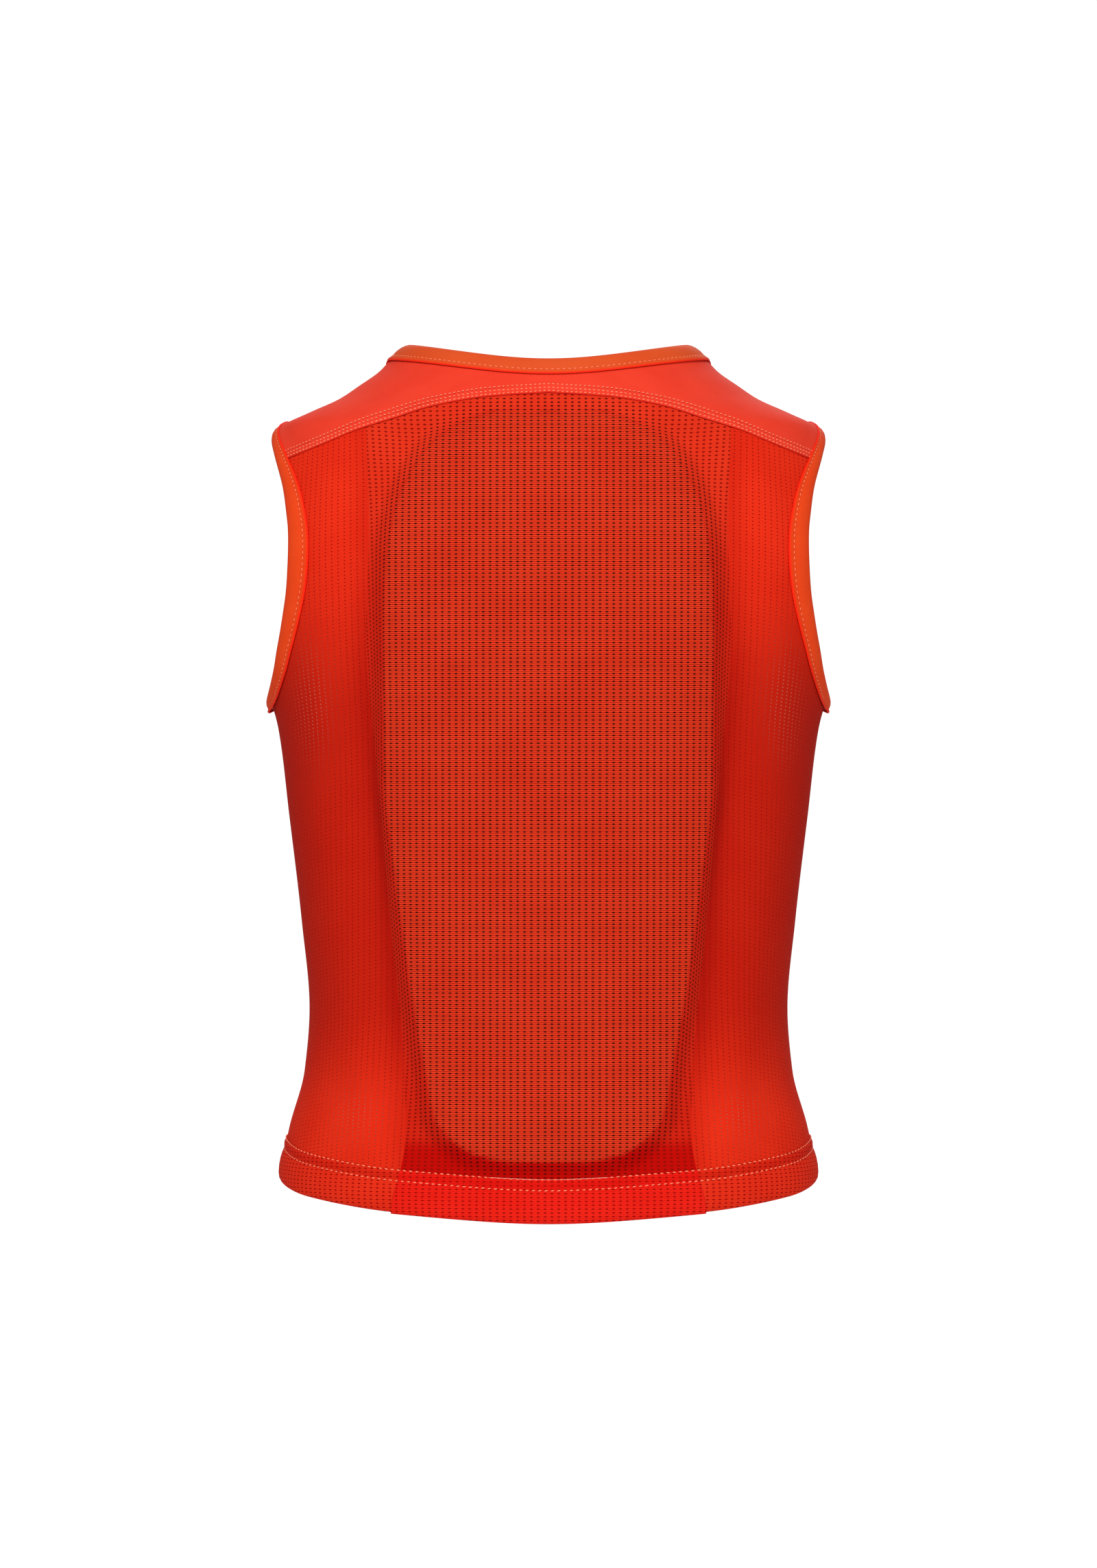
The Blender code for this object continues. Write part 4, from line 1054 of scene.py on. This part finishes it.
def makeArmBindings():
    look = armBand
    turns = (np.arange(look["around"]) * 360 / look["around"])[None, :]
    angle, height, lifts, across = bandGrid(armLow, armEdge, turns, look["profile"])
    lap = np.exp(-(((turns + 180) % 360 - 180) / look["lapReach"]) ** 2)
    lifts = lifts + lap * look["lap"] * (1 - across)
    steps = np.linalg.norm(np.diff(bodyOval(angle[0], height[0]), axis=0), axis=1)
    long = np.concatenate([[0], np.cumsum(steps)])[None, :]
    for side in ("right", "left"):
        a, h, lift, over, along = mirrored(side, angle, height, lifts, across, long)
        points = onBody(a, h, lift)
        row = 5                    # halfway up the outside, where the facing of the grid is read
        facing = (gridNormals(points, True)[row] * outward(a[row], h[row])).sum() < 0
        obj = sheetMesh(f"armhole_binding_{side}_folded", points, look["thick"], armCloth,
                        (along + 0 * a, over * 10), {"shade": bandShade(over, len(look["profile"]))},
                        ring=True, flip=bool(facing))
        declareCut(obj)
        place(obj, "root", f"armhole_binding_{side}", "binding")


makeNeckBinding()
makeArmBindings()
print("bindings made")


# The hem is turned up and sewn with two rows. Its profile goes up the inside, round the fold and up the
# outside: the height over the folded edge and the lift.
hemBand = {
    "thick": 0.8, "stretch": 1.08, "open": 0.6, "backing": "#960400", "endDip": 0.35,
    "profile": [(20.0, -2.1), (14.0, -2.35), (6.0, -2.4), (1.6, -2.2), (0.35, -1.7), (0.0, -1.0),
                (0.25, -0.3), (1.2, 0.45), (3.4, 1.1), (7.0, 1.45), (10.5, 1.4), (13.2, 1.1),
                (14.8, 0.75), (16.0, 0.3), (17.2, 0.7), (18.8, 0.95), (20.2, 0.7), (21.5, 0.35)],
    "backCut": (170, 48), "sideCut": (205, 48), "frontCut": (78, 48),
}


def backHemShade(up):
    # painted shade: the strip under the upper row of stitches is the deepest red, and the band lower down a
    # little deeper too
    return np.exp(-((up - 18.5) / 2.6) ** 2) * 0.55 + np.exp(-((up - 12) / 5) ** 2) * 0.18


def sideHemShade(up):
    # painted shade under the upper row of stitches, as on the back; the rest of the side hem is a little
    # deeper too
    return np.exp(-((up - 18.5) / 2.2) ** 2) * 0.4 + 0.22


def hemPiece(part, low, high, count, material, shade, body, drop=0.0):
    # low and high are the angles of the band's two ends at its folded edge and at its top
    u = np.linspace(0, 1, count + 1)[None, :]
    up = np.array([p for p, _ in hemBand["profile"]])[:, None]
    lifts = np.array([q for _, q in hemBand["profile"]])[:, None]
    share = up / hemShape["band"]
    angle = (low[0] + (low[1] - low[0]) * u) * (1 - share) + (high[0] + (high[1] - high[0]) * u) * share
    height = hemEdge(angle) + up - drop * (1 - share)
    ends = np.minimum(u, 1 - u) * np.abs(low[1] - low[0])
    lifts = lifts - hemBand["endDip"] * np.exp(-(ends / 0.6) ** 2)
    points = onBody(angle, height, lifts + relief(angle, height))
    # painted shade: the holes show the inner layer's red darkened by the shade it lies in, and the 'shade'
    # mark deepens the colour under the upper row of stitches
    marks = {"open": hemBand["open"], "shade": shade(up + 0 * angle),
             "backing": evenMarks(hemBand["backing"], angle.shape)}
    obj = sheetMesh(f"{part}_folded", points, hemBand["thick"], material,
                    (girth(angle, height), height + 0 * angle), marks)
    declareCut(obj)
    place(obj, body, part, "hem_knit")


def makeHem():
    # the band's ends: an angle at the folded edge and one at the top, for each seam that it stops at
    rises = (0.0, hemShape["band"])
    seam = [seamFoot(rise) for rise in rises]
    front = [frontFoot(seams["front"], rise) for rise in rises]
    zipSide = [frontFoot(seams["zipEdge"], rise) for rise in rises]
    hemPiece("hem_back_centre", (-seam[0], seam[0]), (-seam[1], seam[1]), 130, hemCloth, backHemShade,
             "root", hemShape["step"])
    for part, start, end, count, cut in (("hem_side", seam, front, 150, hemBand["sideCut"]),
                                         ("hem_front", front, zipSide, 60, hemBand["frontCut"])):
        for side in ("right", "left"):
            low, high = (start[0], end[0]), (start[1], end[1])
            if side == "left":
                low, high = (-end[0], -start[0]), (-end[1], -start[1])
            hemPiece(f"{part}_{side}", low, high, count, sideHemCloth, sideHemShade, "hinge_" + side)


makeHem()
print("hem made")


# Each kind of stitching has its spacing, its stitch and its rows: how far each row lies from the seam, and
# how far its stitches lean. Real thread is 0.3 mm, too fine to show, and is drawn nearly twice as thick.
stitchLook = {
    "yoke": {"pitch": 2.3, "long": 1.35, "wide": 0.62, "high": 0.5, "seed": 5,
             "rows": ((1.0, 0.25), (2.7, -0.25), (4.6, 0.12))},
    "neck": {"pitch": 2.9, "long": 1.5, "wide": 0.5, "high": 0.45, "seed": 7, "across": 0.26, "lift": 1.2},
    "armhole": {"pitch": 2.9, "long": 1.5, "wide": 0.5, "high": 0.45, "seed": 7, "across": 0.24,
                "lift": 1.05},
    "hem": {"pitch": 3.2, "long": 1.8, "wide": 0.65, "high": 0.55, "seed": 9,
            "rows": ((16.0, 0.12, 0.42), (21.4, -0.1, 0.62))},
    "front": {"pitch": 2.4, "long": 1.6, "wide": 0.45, "high": 0.4, "seed": 11,
              "zipRow": (1.6, 0.0), "seamRows": ((-1.7, 0.15), (1.7, -0.15))},
}


def sewRows(name, kind, body, rows):
    # each row gives its angles and heights, its lift off the body and its stitches' lean
    lines = []
    for angle, height, lift, tilt in rows:
        angle, height = np.broadcast_arrays(angle, height)
        lines.append((onBody(angle, height, lift), outward(angle, height), tilt))
    place(stitchMesh("stitching_" + name, lines, stitchLook[kind], thread), body)


def sewYoke():
    lift = yokePiece["edgeLift"] + 0.1
    back = np.linspace(-backYokeX + 1, backYokeX - 1, 260)
    front = np.linspace(seams["front"] + 2, frontYokeX - 1, 60)
    for name, x, seam, at, body in (("back_yoke", back, backYokeSeam, backAt, "root"),
                                    ("front_yoke_right", front, frontYokeSeam, frontAt, "hinge_right"),
                                    ("front_yoke_left", -front, frontYokeSeam, frontAt, "hinge_left")):
        rows = []
        for above, tilt in stitchLook["yoke"]["rows"]:
            angle, height = at(x, seam(np.abs(x)) + above)
            rows.append((angle, height, lift + relief(angle, height), tilt))
        sewRows(name, "yoke", body, rows)


def sewBindings():
    look = stitchLook["neck"]
    for name, start, finish, body in neckLengths():
        angle = np.linspace(start, finish, 300)
        height = neckLow(angle) + (neckTop(angle) - neckLow(angle)) * look["across"]
        lift = look["lift"] + relief(angle, height) * 0.5
        sewRows("neck_" + name, "neck", body, [(angle, height, lift, 0.0)])
    look = stitchLook["armhole"]
    turns = np.linspace(0, 360, 400)
    low, high = armLow(turns), armEdge(turns)
    angle, height = [low[k] + (high[k] - low[k]) * look["across"] for k in (0, 1)]
    for side, sign in (("right", 1), ("left", -1)):
        sewRows("armhole_" + side, "armhole", "root", [(angle * sign, height, look["lift"], 0.0)])


def sewHem():
    front = frontFoot(seams["front"], 15.0)
    zipSide = frontFoot(seams["zipEdge"] + 1, 15.0)
    for name, start, finish, body in (("back", -89.0, 89.0, "root"),
                                      ("side_right", 90.0, front, "hinge_right"),
                                      ("side_left", -front, -90.0, "hinge_left"),
                                      ("front_right", front, zipSide, "hinge_right"),
                                      ("front_left", -zipSide, -front, "hinge_left")):
        angle = np.linspace(start, finish, 400)
        rows = []
        for up, tilt, lift in stitchLook["hem"]["rows"]:
            height = hemEdge(angle) + up
            rows.append((angle, height, lift + relief(angle, height), tilt))
        sewRows("hem_" + name, "hem", body, rows)


def sewFronts():
    look = stitchLook["front"]
    low = frontHemRise + hemShape["band"] + 1
    places = [(seams["zipEdge"] + look["zipRow"][0], look["zipRow"][1], neckFrontLow - 1)]
    for aside, tilt in look["seamRows"]:
        places.append((seams["front"] + aside, tilt, float(frontYokeSeam(seams["front"])) - 1))
    for side, sign in (("right", 1), ("left", -1)):
        rows = []
        for x, tilt, high in places:
            height = np.linspace(low, high, 260)
            angle = frontAt(x + 0 * height, height)[0] * sign
            rows.append((angle, height, relief(angle, height), tilt))
        sewRows("front_" + side, "front", "hinge_" + side, rows)


sewYoke()
sewBindings()
sewHem()
sewFronts()
print("stitching made")


# The back plate is a vented shell foam with a softer foam behind it. Each lift counts from the body's
# surface under the cloth.
plateLayers = {
    "shell": {"inset": 0.0, "outside": -1.9, "edge": -5.6, "inside": -11.0, "fill": 1.0},
    "comfort": {"inset": 6.0, "outside": -11.6, "edge": -13.1, "inside": -16.4, "fill": 0.9},
    "rows": np.concatenate([[30, 31.2, 33, 36, 39], np.arange(43, 396, 4.0),
                            [398, 402, 405.5, 408, 409.5]]),
    "columns": np.concatenate([np.linspace(-1, -0.82, 9)[:-1], np.linspace(-0.82, 0.82, 42),
                               np.linspace(0.82, 1, 9)[1:]]),
    "ventMargin": 12.0,            # no vent comes nearer the rim than this
}


def foamLayer(name, node, material, slot, look):
    rows = plateLayers["rows"]
    rows = rows[(rows >= plateLow + look["inset"]) & (rows <= plateHigh - look["inset"])]
    across = plateLayers["columns"]
    height = rows[:, None] + 0 * across[None, :]
    half = plateHalf(height) - look["inset"]
    x = across[None, :] * half
    angle, _ = backAt(x, height)
    rim = np.minimum(half - np.abs(x), np.minimum(height - rows[0], rows[-1] - height))
    falling = 1 - softStep(rim, 0, plateShape["bevel"])
    lift = look["outside"] + (look["edge"] - look["outside"]) * falling
    outerFace = onBody(angle, height, lift)
    vents = ventMask(x, height) & (rim > plateLayers["ventMargin"])
    innerFace = onBody(angle, height, look["inside"] + 0 * lift)
    tall, wide = height.shape
    count = tall * wide
    points = np.concatenate([outerFace.reshape(-1, 3), innerFace.reshape(-1, 3)])
    cut = vents[:-1, :-1] & vents[1:, :-1] & vents[:-1, 1:] & vents[1:, 1:]
    faces = []

    def wall(a, b):
        faces.append((a, a + count, b + count, b))

    for j in range(tall - 1):
        for i in range(wide - 1):
            a, b, c, d = j * wide + i, j * wide + i + 1, (j + 1) * wide + i + 1, (j + 1) * wide + i
            if cut[j, i]:
                continue
            faces.append((a, b, c, d))
            faces.append((a + count, d + count, c + count, b + count))
            if j == 0 or cut[j - 1, i]:
                wall(a, b)
            if i == wide - 2 or cut[j, i + 1]:
                wall(b, c)
            if j == tall - 2 or cut[j + 1, i]:
                wall(c, d)
            if i == 0 or cut[j, i - 1]:
                wall(d, a)
    obj = meshObject(name, toWorld(points), faces, material, sharp=60)
    place(obj, "root", node, slot)


foamLayer("plate_shell_foam_vented", "protector_shell_foam", shellFoam, "shell_foam", plateLayers["shell"])
foamLayer("plate_comfort_foam_soft", "protector_comfort_foam", softFoam, "comfort_foam",
          plateLayers["comfort"])
print("back plate made")


# The lining lies behind the plate and makes the pocket. It is sewn in along the side seams and the yoke.
lining = {"thick": 0.8, "edge": -12.4, "middle": -17.5, "low": 24.5, "high": 422.0, "cut": (190, 400),
          "pitchScale": 1.05, "slant": 0.0, "slope": 5.6, "sewnLift": -1.6, "shade": 0.25,
          "backing": "#3A0805"}


def makeLining():
    height = np.concatenate([[lining["low"], 27], np.arange(29, 36, 1.0), np.arange(38, 404, 4.0),
                             np.arange(405, 412, 1.0), [416, lining["high"]]])[:, None]
    half = sideBackSeam(height) - 0.3
    x = np.linspace(-1, 1, 90)[None, :] * half
    angle, h = backAt(x, height + 0 * x)
    rim = np.minimum(np.maximum(plateHalf(height) + 1.0, 2.0), half - 1) - np.abs(x)
    rim = np.minimum(rim, np.minimum(plateHigh + 1 - h, h - (plateLow - 1)))
    depth = softStep(rim, 0, lining["slope"])
    lift = lining["edge"] + (lining["middle"] - lining["edge"]) * depth
    sewn = np.maximum(softStep(np.abs(x), np.minimum(plateHalf(height) + 1.5, half - 3), half),
                      softStep(h, 411, 421))
    lift = lift * (1 - sewn) + (relief(angle, h) + lining["sewnLift"]) * sewn
    # painted shade: the lining lies inside the vest, so its colour is deepened all over and its holes show
    # nearly black
    marks = {"open": 0.0, "shade": lining["shade"], "backing": evenMarks(lining["backing"], h.shape)}
    obj = sheetMesh("pocket_lining_mesh", onBody(angle, h, lift), lining["thick"], sideCloth,
                    sidePattern(angle, h, lining), marks)
    declareCut(obj)
    place(obj, "root", "pocket_lining", "mesh_knit")


makeLining()

# Small flat pieces each fill the box of their own solid, with a rolled edge and, where hung, a slight wave.
flatCloth = {"step": 2.5, "rolled": 0.25, "margin": 0.05, "wave": ((17.0, 0.4), (23.0, 0.0))}


def boxOf(node):
    return [np.array(corner) / millimetre + [0, 0, shoulderHeight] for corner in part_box(node)]


def flatPiece(name, node, material, body, slot, wave=0.0, marks=None):
    low, high = boxOf(node)
    size = high - low
    thin = int(np.argmin(size))
    wide, tall = [k for k in range(3) if k != thin]
    n = [max(4, int(size[k] / flatCloth["step"])) for k in (wide, tall)]
    a = np.linspace(low[wide], high[wide], n[0] + 1)[None, :]
    b = np.linspace(low[tall], high[tall], n[1] + 1)[:, None]
    (longA, startA), (longB, startB) = flatCloth["wave"]
    ripple = wave * np.sin(a / longA + startA) * np.sin(b / longB + startB)
    points = np.zeros((n[1] + 1, n[0] + 1, 3))
    points[..., wide] = a
    points[..., tall] = b
    points[..., thin] = high[thin] - flatCloth["margin"] + ripple
    normal = gridNormals(points)[..., thin]
    obj = sheetMesh(name, points, size[thin] - 2 * flatCloth["margin"], material, (a + 0 * b, b + 0 * a),
                    marks, flip=bool(normal.mean() < 0))
    edge = obj.modifiers.new("rolled_edge", "BEVEL")
    edge.width = min(flatCloth["rolled"], size[thin] / 4) * millimetre
    edge.segments = 2
    edge.limit_method = "ANGLE"
    declareCut(obj)
    place(obj, body, node, slot)


plain = {"shade": 0.0}
flatPiece("pocket_flap_cloth", "pocket_flap", yokeCloth, "flap", "plain_knit", wave=0.18, marks=plain)
flatPiece("flap_hook_tape", "flap_hook_strip", pileTape, "flap", "hook_and_loop")
flatPiece("lining_loop_tape", "lining_loop_strip", pileTape, "root", "hook_and_loop")
flatPiece("care_label_satin", "care_label", labelCloth, "root", "label")
for side in ("left", "right"):
    flatPiece(f"zip_tape_{side}_woven", f"zip_tape_{side}", tapeCloth, f"front_{side}", "zip_tape")
flatPiece("wind_flap_tricot", "wind_flap", yokeCloth, "front_right", "plain_knit", 0.09, plain)
print("pocket and small cloth made")


sizeLabel = {"halfWide": 15.0, "halfTall": 12.5, "thick": 0.44, "tilt": 19.5, "cut": (30, 25), "stretch": 1.0}


def makeSizeLabel():
    # tilted to lie along the neck, as a blank woven tab
    low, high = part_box("size_label")
    turn = Matrix.Rotation(math.radians(sizeLabel["tilt"]), 4, "X")
    a = np.linspace(-sizeLabel["halfWide"], sizeLabel["halfWide"], 13)[None, :]
    b = np.linspace(-sizeLabel["halfTall"], sizeLabel["halfTall"], 11)[:, None]
    points = np.stack([a + 0 * b, sizeLabel["thick"] / 2 + 0.0 * a * b, b + 0 * a], -1) * millimetre
    grid = np.array([[tuple((low + high) / 2 + (turn @ Vector(p))) for p in row] for row in points])
    grid = grid / millimetre + [0, 0, shoulderHeight]
    normal = gridNormals(grid)[..., 1].mean()
    obj = sheetMesh("size_label_satin", grid, sizeLabel["thick"], labelCloth, (a + 0 * b, b + 0 * a),
                    flip=bool(normal < 0))
    declareCut(obj)
    place(obj, "root", "size_label", "label")


makeSizeLabel()


# Each row of teeth is moulded on its tape's corded edge. A tooth's outline is its neck and head, with X
# away from the other row, and the two rows stand half a step apart and lock together.
zipShape = {
    "chainY": 82.8, "pitch": 2.5, "low": 33.0, "high": 392.5,
    "tooth": [(3.0, -0.62), (1.2, -0.5), (0.7, -0.62), (-0.3, -0.6), (-0.62, -0.3), (-0.62, 0.3),
              (-0.3, 0.6), (0.7, 0.62), (1.2, 0.5), (3.0, 0.62)],
    "layers": ((-1.15, 0.86), (-0.85, 1.0), (0.85, 1.0), (1.15, 0.86)),    # depth, and size there
    "middle": 1.2,                 # the place on the tooth that its bevel shrinks towards
    "cordAt": 2.75, "cordWide": 0.55, "cordDeep": 0.75, "cordTop": 393.0,
    "cordLow": {"left": 33.0, "right": 24.6},
}


def addTooth(points, faces, sign, z):
    outline = zipShape["tooth"]
    start, n = len(points), len(outline)
    for y, grow in zipShape["layers"]:
        for x, up in outline:
            aside = zipShape["middle"] + (x - zipShape["middle"]) * grow
            points.append((sign * aside, zipShape["chainY"] + y, z + up * grow))
    for level in range(len(zipShape["layers"]) - 1):
        for i in range(n):
            a, b = start + level * n + i, start + level * n + (i + 1) % n
            face = (a, b, b + n, a + n)
            faces.append(face if sign < 0 else face[::-1])
    near, far = tuple(range(start, start + n)), tuple(range(start + 3 * n, start + 4 * n))
    faces.append(near[::-1] if sign < 0 else near)
    faces.append(far if sign < 0 else far[::-1])


def addCord(points, faces, sign, bottom, sides=8):
    start = len(points)
    spin = np.linspace(0, 2 * math.pi, sides + 1)[:-1]
    for z in (bottom, zipShape["cordTop"]):
        points += [(sign * zipShape["cordAt"] + math.cos(t) * zipShape["cordWide"],
                    zipShape["chainY"] + math.sin(t) * zipShape["cordDeep"], z) for t in spin]
    for i in range(sides):
        k = (i + 1) % sides
        faces.append((start + i, start + k, start + sides + k, start + sides + i))
    faces.append(tuple(range(start, start + sides))[::-1])
    faces.append(tuple(range(start + sides, start + 2 * sides)))


def makeTeeth():
    for side, sign, steps in (("left", -1, 0.5), ("right", 1, 1.0)):
        points, faces = [], []
        first = zipShape["low"] + steps * zipShape["pitch"]
        for z in np.arange(first, zipShape["high"], zipShape["pitch"]):
            addTooth(points, faces, sign, z)
        addCord(points, faces, sign, zipShape["cordLow"][side])
        obj = meshObject(f"zip_teeth_{side}_moulded", toWorld(points), faces, toothPlastic, sharp=40)
        place(obj, f"front_{side}", f"zip_chain_{side}", "zip_teeth")


makeTeeth()

# The pull's grip is a moulded bar with rounded ends and finger ridges, thinner towards the tab.
gripShape = {"sides": 32, "squareX": 0.6, "squareY": 0.7, "ridges": 6, "ridgeDepth": 0.16, "narrow": 0.78,
             "endLong": 0.06, "endSize": 0.55}


def makeGrip():
    look = gripShape
    low, high = boxOf("pull_grip")
    middle, size = (low + high) / 2, (high - low) / 2
    t = np.concatenate([[0, 0.01, 0.03, 0.06], np.linspace(0.1, 0.9, 49), [0.94, 0.97, 0.99, 1]])
    spin = np.linspace(0, 2 * math.pi, look["sides"] + 1)[:-1]
    past = ((np.abs(t - 0.5) - (0.5 - look["endLong"])) / look["endLong"]).clip(0, 1)
    full = look["endSize"] + (1 - look["endSize"]) * np.sqrt(np.clip(1 - past ** 2, 0, 1))
    held = softStep(t, 0.08, 0.18) * (1 - softStep(t, 0.82, 0.92))
    ridge = 1 - look["ridgeDepth"] * (0.5 + 0.5 * np.cos(t * 2 * math.pi * look["ridges"])) * held
    taper = look["narrow"] + (1 - look["narrow"]) * softStep(1 - t, 0.0, 0.6)
    c, s = np.cos(spin)[None, :], np.sin(spin)[None, :]
    x = np.sign(c) * np.abs(c) ** look["squareX"] * size[0] * (full * taper)[:, None]
    y = np.sign(s) * np.abs(s) ** look["squareY"] * size[1] * (full * ridge)[:, None]
    z = (low[2] + t * (high[2] - low[2]))[:, None] + 0 * x
    points = np.stack([middle[0] + x, middle[1] + y, z], -1).reshape(-1, 3)
    n = len(spin)
    faces = [(j * n + i, j * n + (i + 1) % n, (j + 1) * n + (i + 1) % n, (j + 1) * n + i)
             for j in range(len(t) - 1) for i in range(n)]
    faces.append(tuple(range(n))[::-1])
    faces.append(tuple(range((len(t) - 1) * n, len(t) * n)))
    obj = meshObject("pull_grip_moulded", toWorld(points), faces, gripRubber)
    place(obj, "pull", "pull_grip", "grip")


makeGrip()
for node in ("top_stop_left", "top_stop_right", "insertion_pin", "retainer_box", "zip_slider", "pull_tab"):
    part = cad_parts[node]
    part.data.materials.clear()
    part.data.materials.append(zipMetal)
print("zip made")


# The studio: a matt floor well below, a white air that lights softly, and three softboxes. Each lamp has
# its place, what it aims at, its power and its size.
studio = {
    "floorReach": 1.15, "floorPlace": (0, 0.1, -0.8), "floorGrey": 0.93,
    "fill": 0.45, "backdrop": 1.05,
    "lens": 189.6, "cameraPlace": (0.0, -3.0, -0.209),
    "lamps": [("key_softbox", (-0.4, -2.3, 1.6), (0, 0, -0.15), 60.0, (1.8, 1.2)),
              ("front_softbox", (0.9, -2.6, 0.3), (0, 0, -0.25), 16.0, (1.6, 1.6)),
              ("back_softbox", (0.3, 2.4, 1.4), (0, 0, -0.2), 26.0, (1.8, 1.4))],
}


def addToScene(name, data, place):
    obj = bpy.data.objects.new(name, data)
    obj.location = place
    bpy.context.scene.collection.objects.link(obj)
    return obj


def makeStudio():
    reach = studio["floorReach"]
    corners = [(-reach, -reach, 0), (reach, -reach, 0), (reach, reach, 0), (-reach, reach, 0)]
    floorMesh = bpy.data.meshes.new("studio_floor")
    floorMesh.from_pydata(corners, [], [(0, 1, 2, 3)])
    # paper, uncoated: a matt pale grey that takes the softest shadow
    paper, _, shader = startMaterial("paper_floor_matt", {"roughness": 0.95})
    shader.inputs["Base Color"].default_value = (*[studio["floorGrey"]] * 3, 1)
    floorMesh.materials.append(paper)
    addToScene("studio_floor", floorMesh, studio["floorPlace"])

    world = bpy.data.worlds.new("studio")
    bpy.context.scene.world = world
    world.use_nodes = True
    tree = world.node_tree
    air = tree.nodes["Background"]
    seen = addNode(tree, "LightPath")
    level = addNode(tree, "MapRange", {"To Min": studio["fill"], "To Max": studio["backdrop"]},
                    {"Value": seen.outputs["Is Camera Ray"]})
    tree.links.new(level.outputs[0], air.inputs["Strength"])
    air.inputs["Color"].default_value = (1, 1, 1, 1)

    for name, spot, aim, power, size in studio["lamps"]:
        lamp = bpy.data.lights.new(name, "AREA")
        lamp.energy = power
        lamp.shape = "RECTANGLE"
        lamp.size, lamp.size_y = size
        obj = addToScene(name, lamp, spot)
        obj.rotation_euler = (Vector(aim) - Vector(spot)).to_track_quat("-Z", "Y").to_euler()

    camera = bpy.data.cameras.new("camera")
    camera.sensor_fit = "HORIZONTAL"
    camera.sensor_width = 36.0
    camera.lens = studio["lens"]
    obj = addToScene("camera", camera, studio["cameraPlace"])
    obj.rotation_euler = (math.radians(90), 0, 0)
    bpy.context.scene.camera = obj
    bpy.context.scene.view_settings.view_transform = "Standard"


makeStudio()
print("studio made")
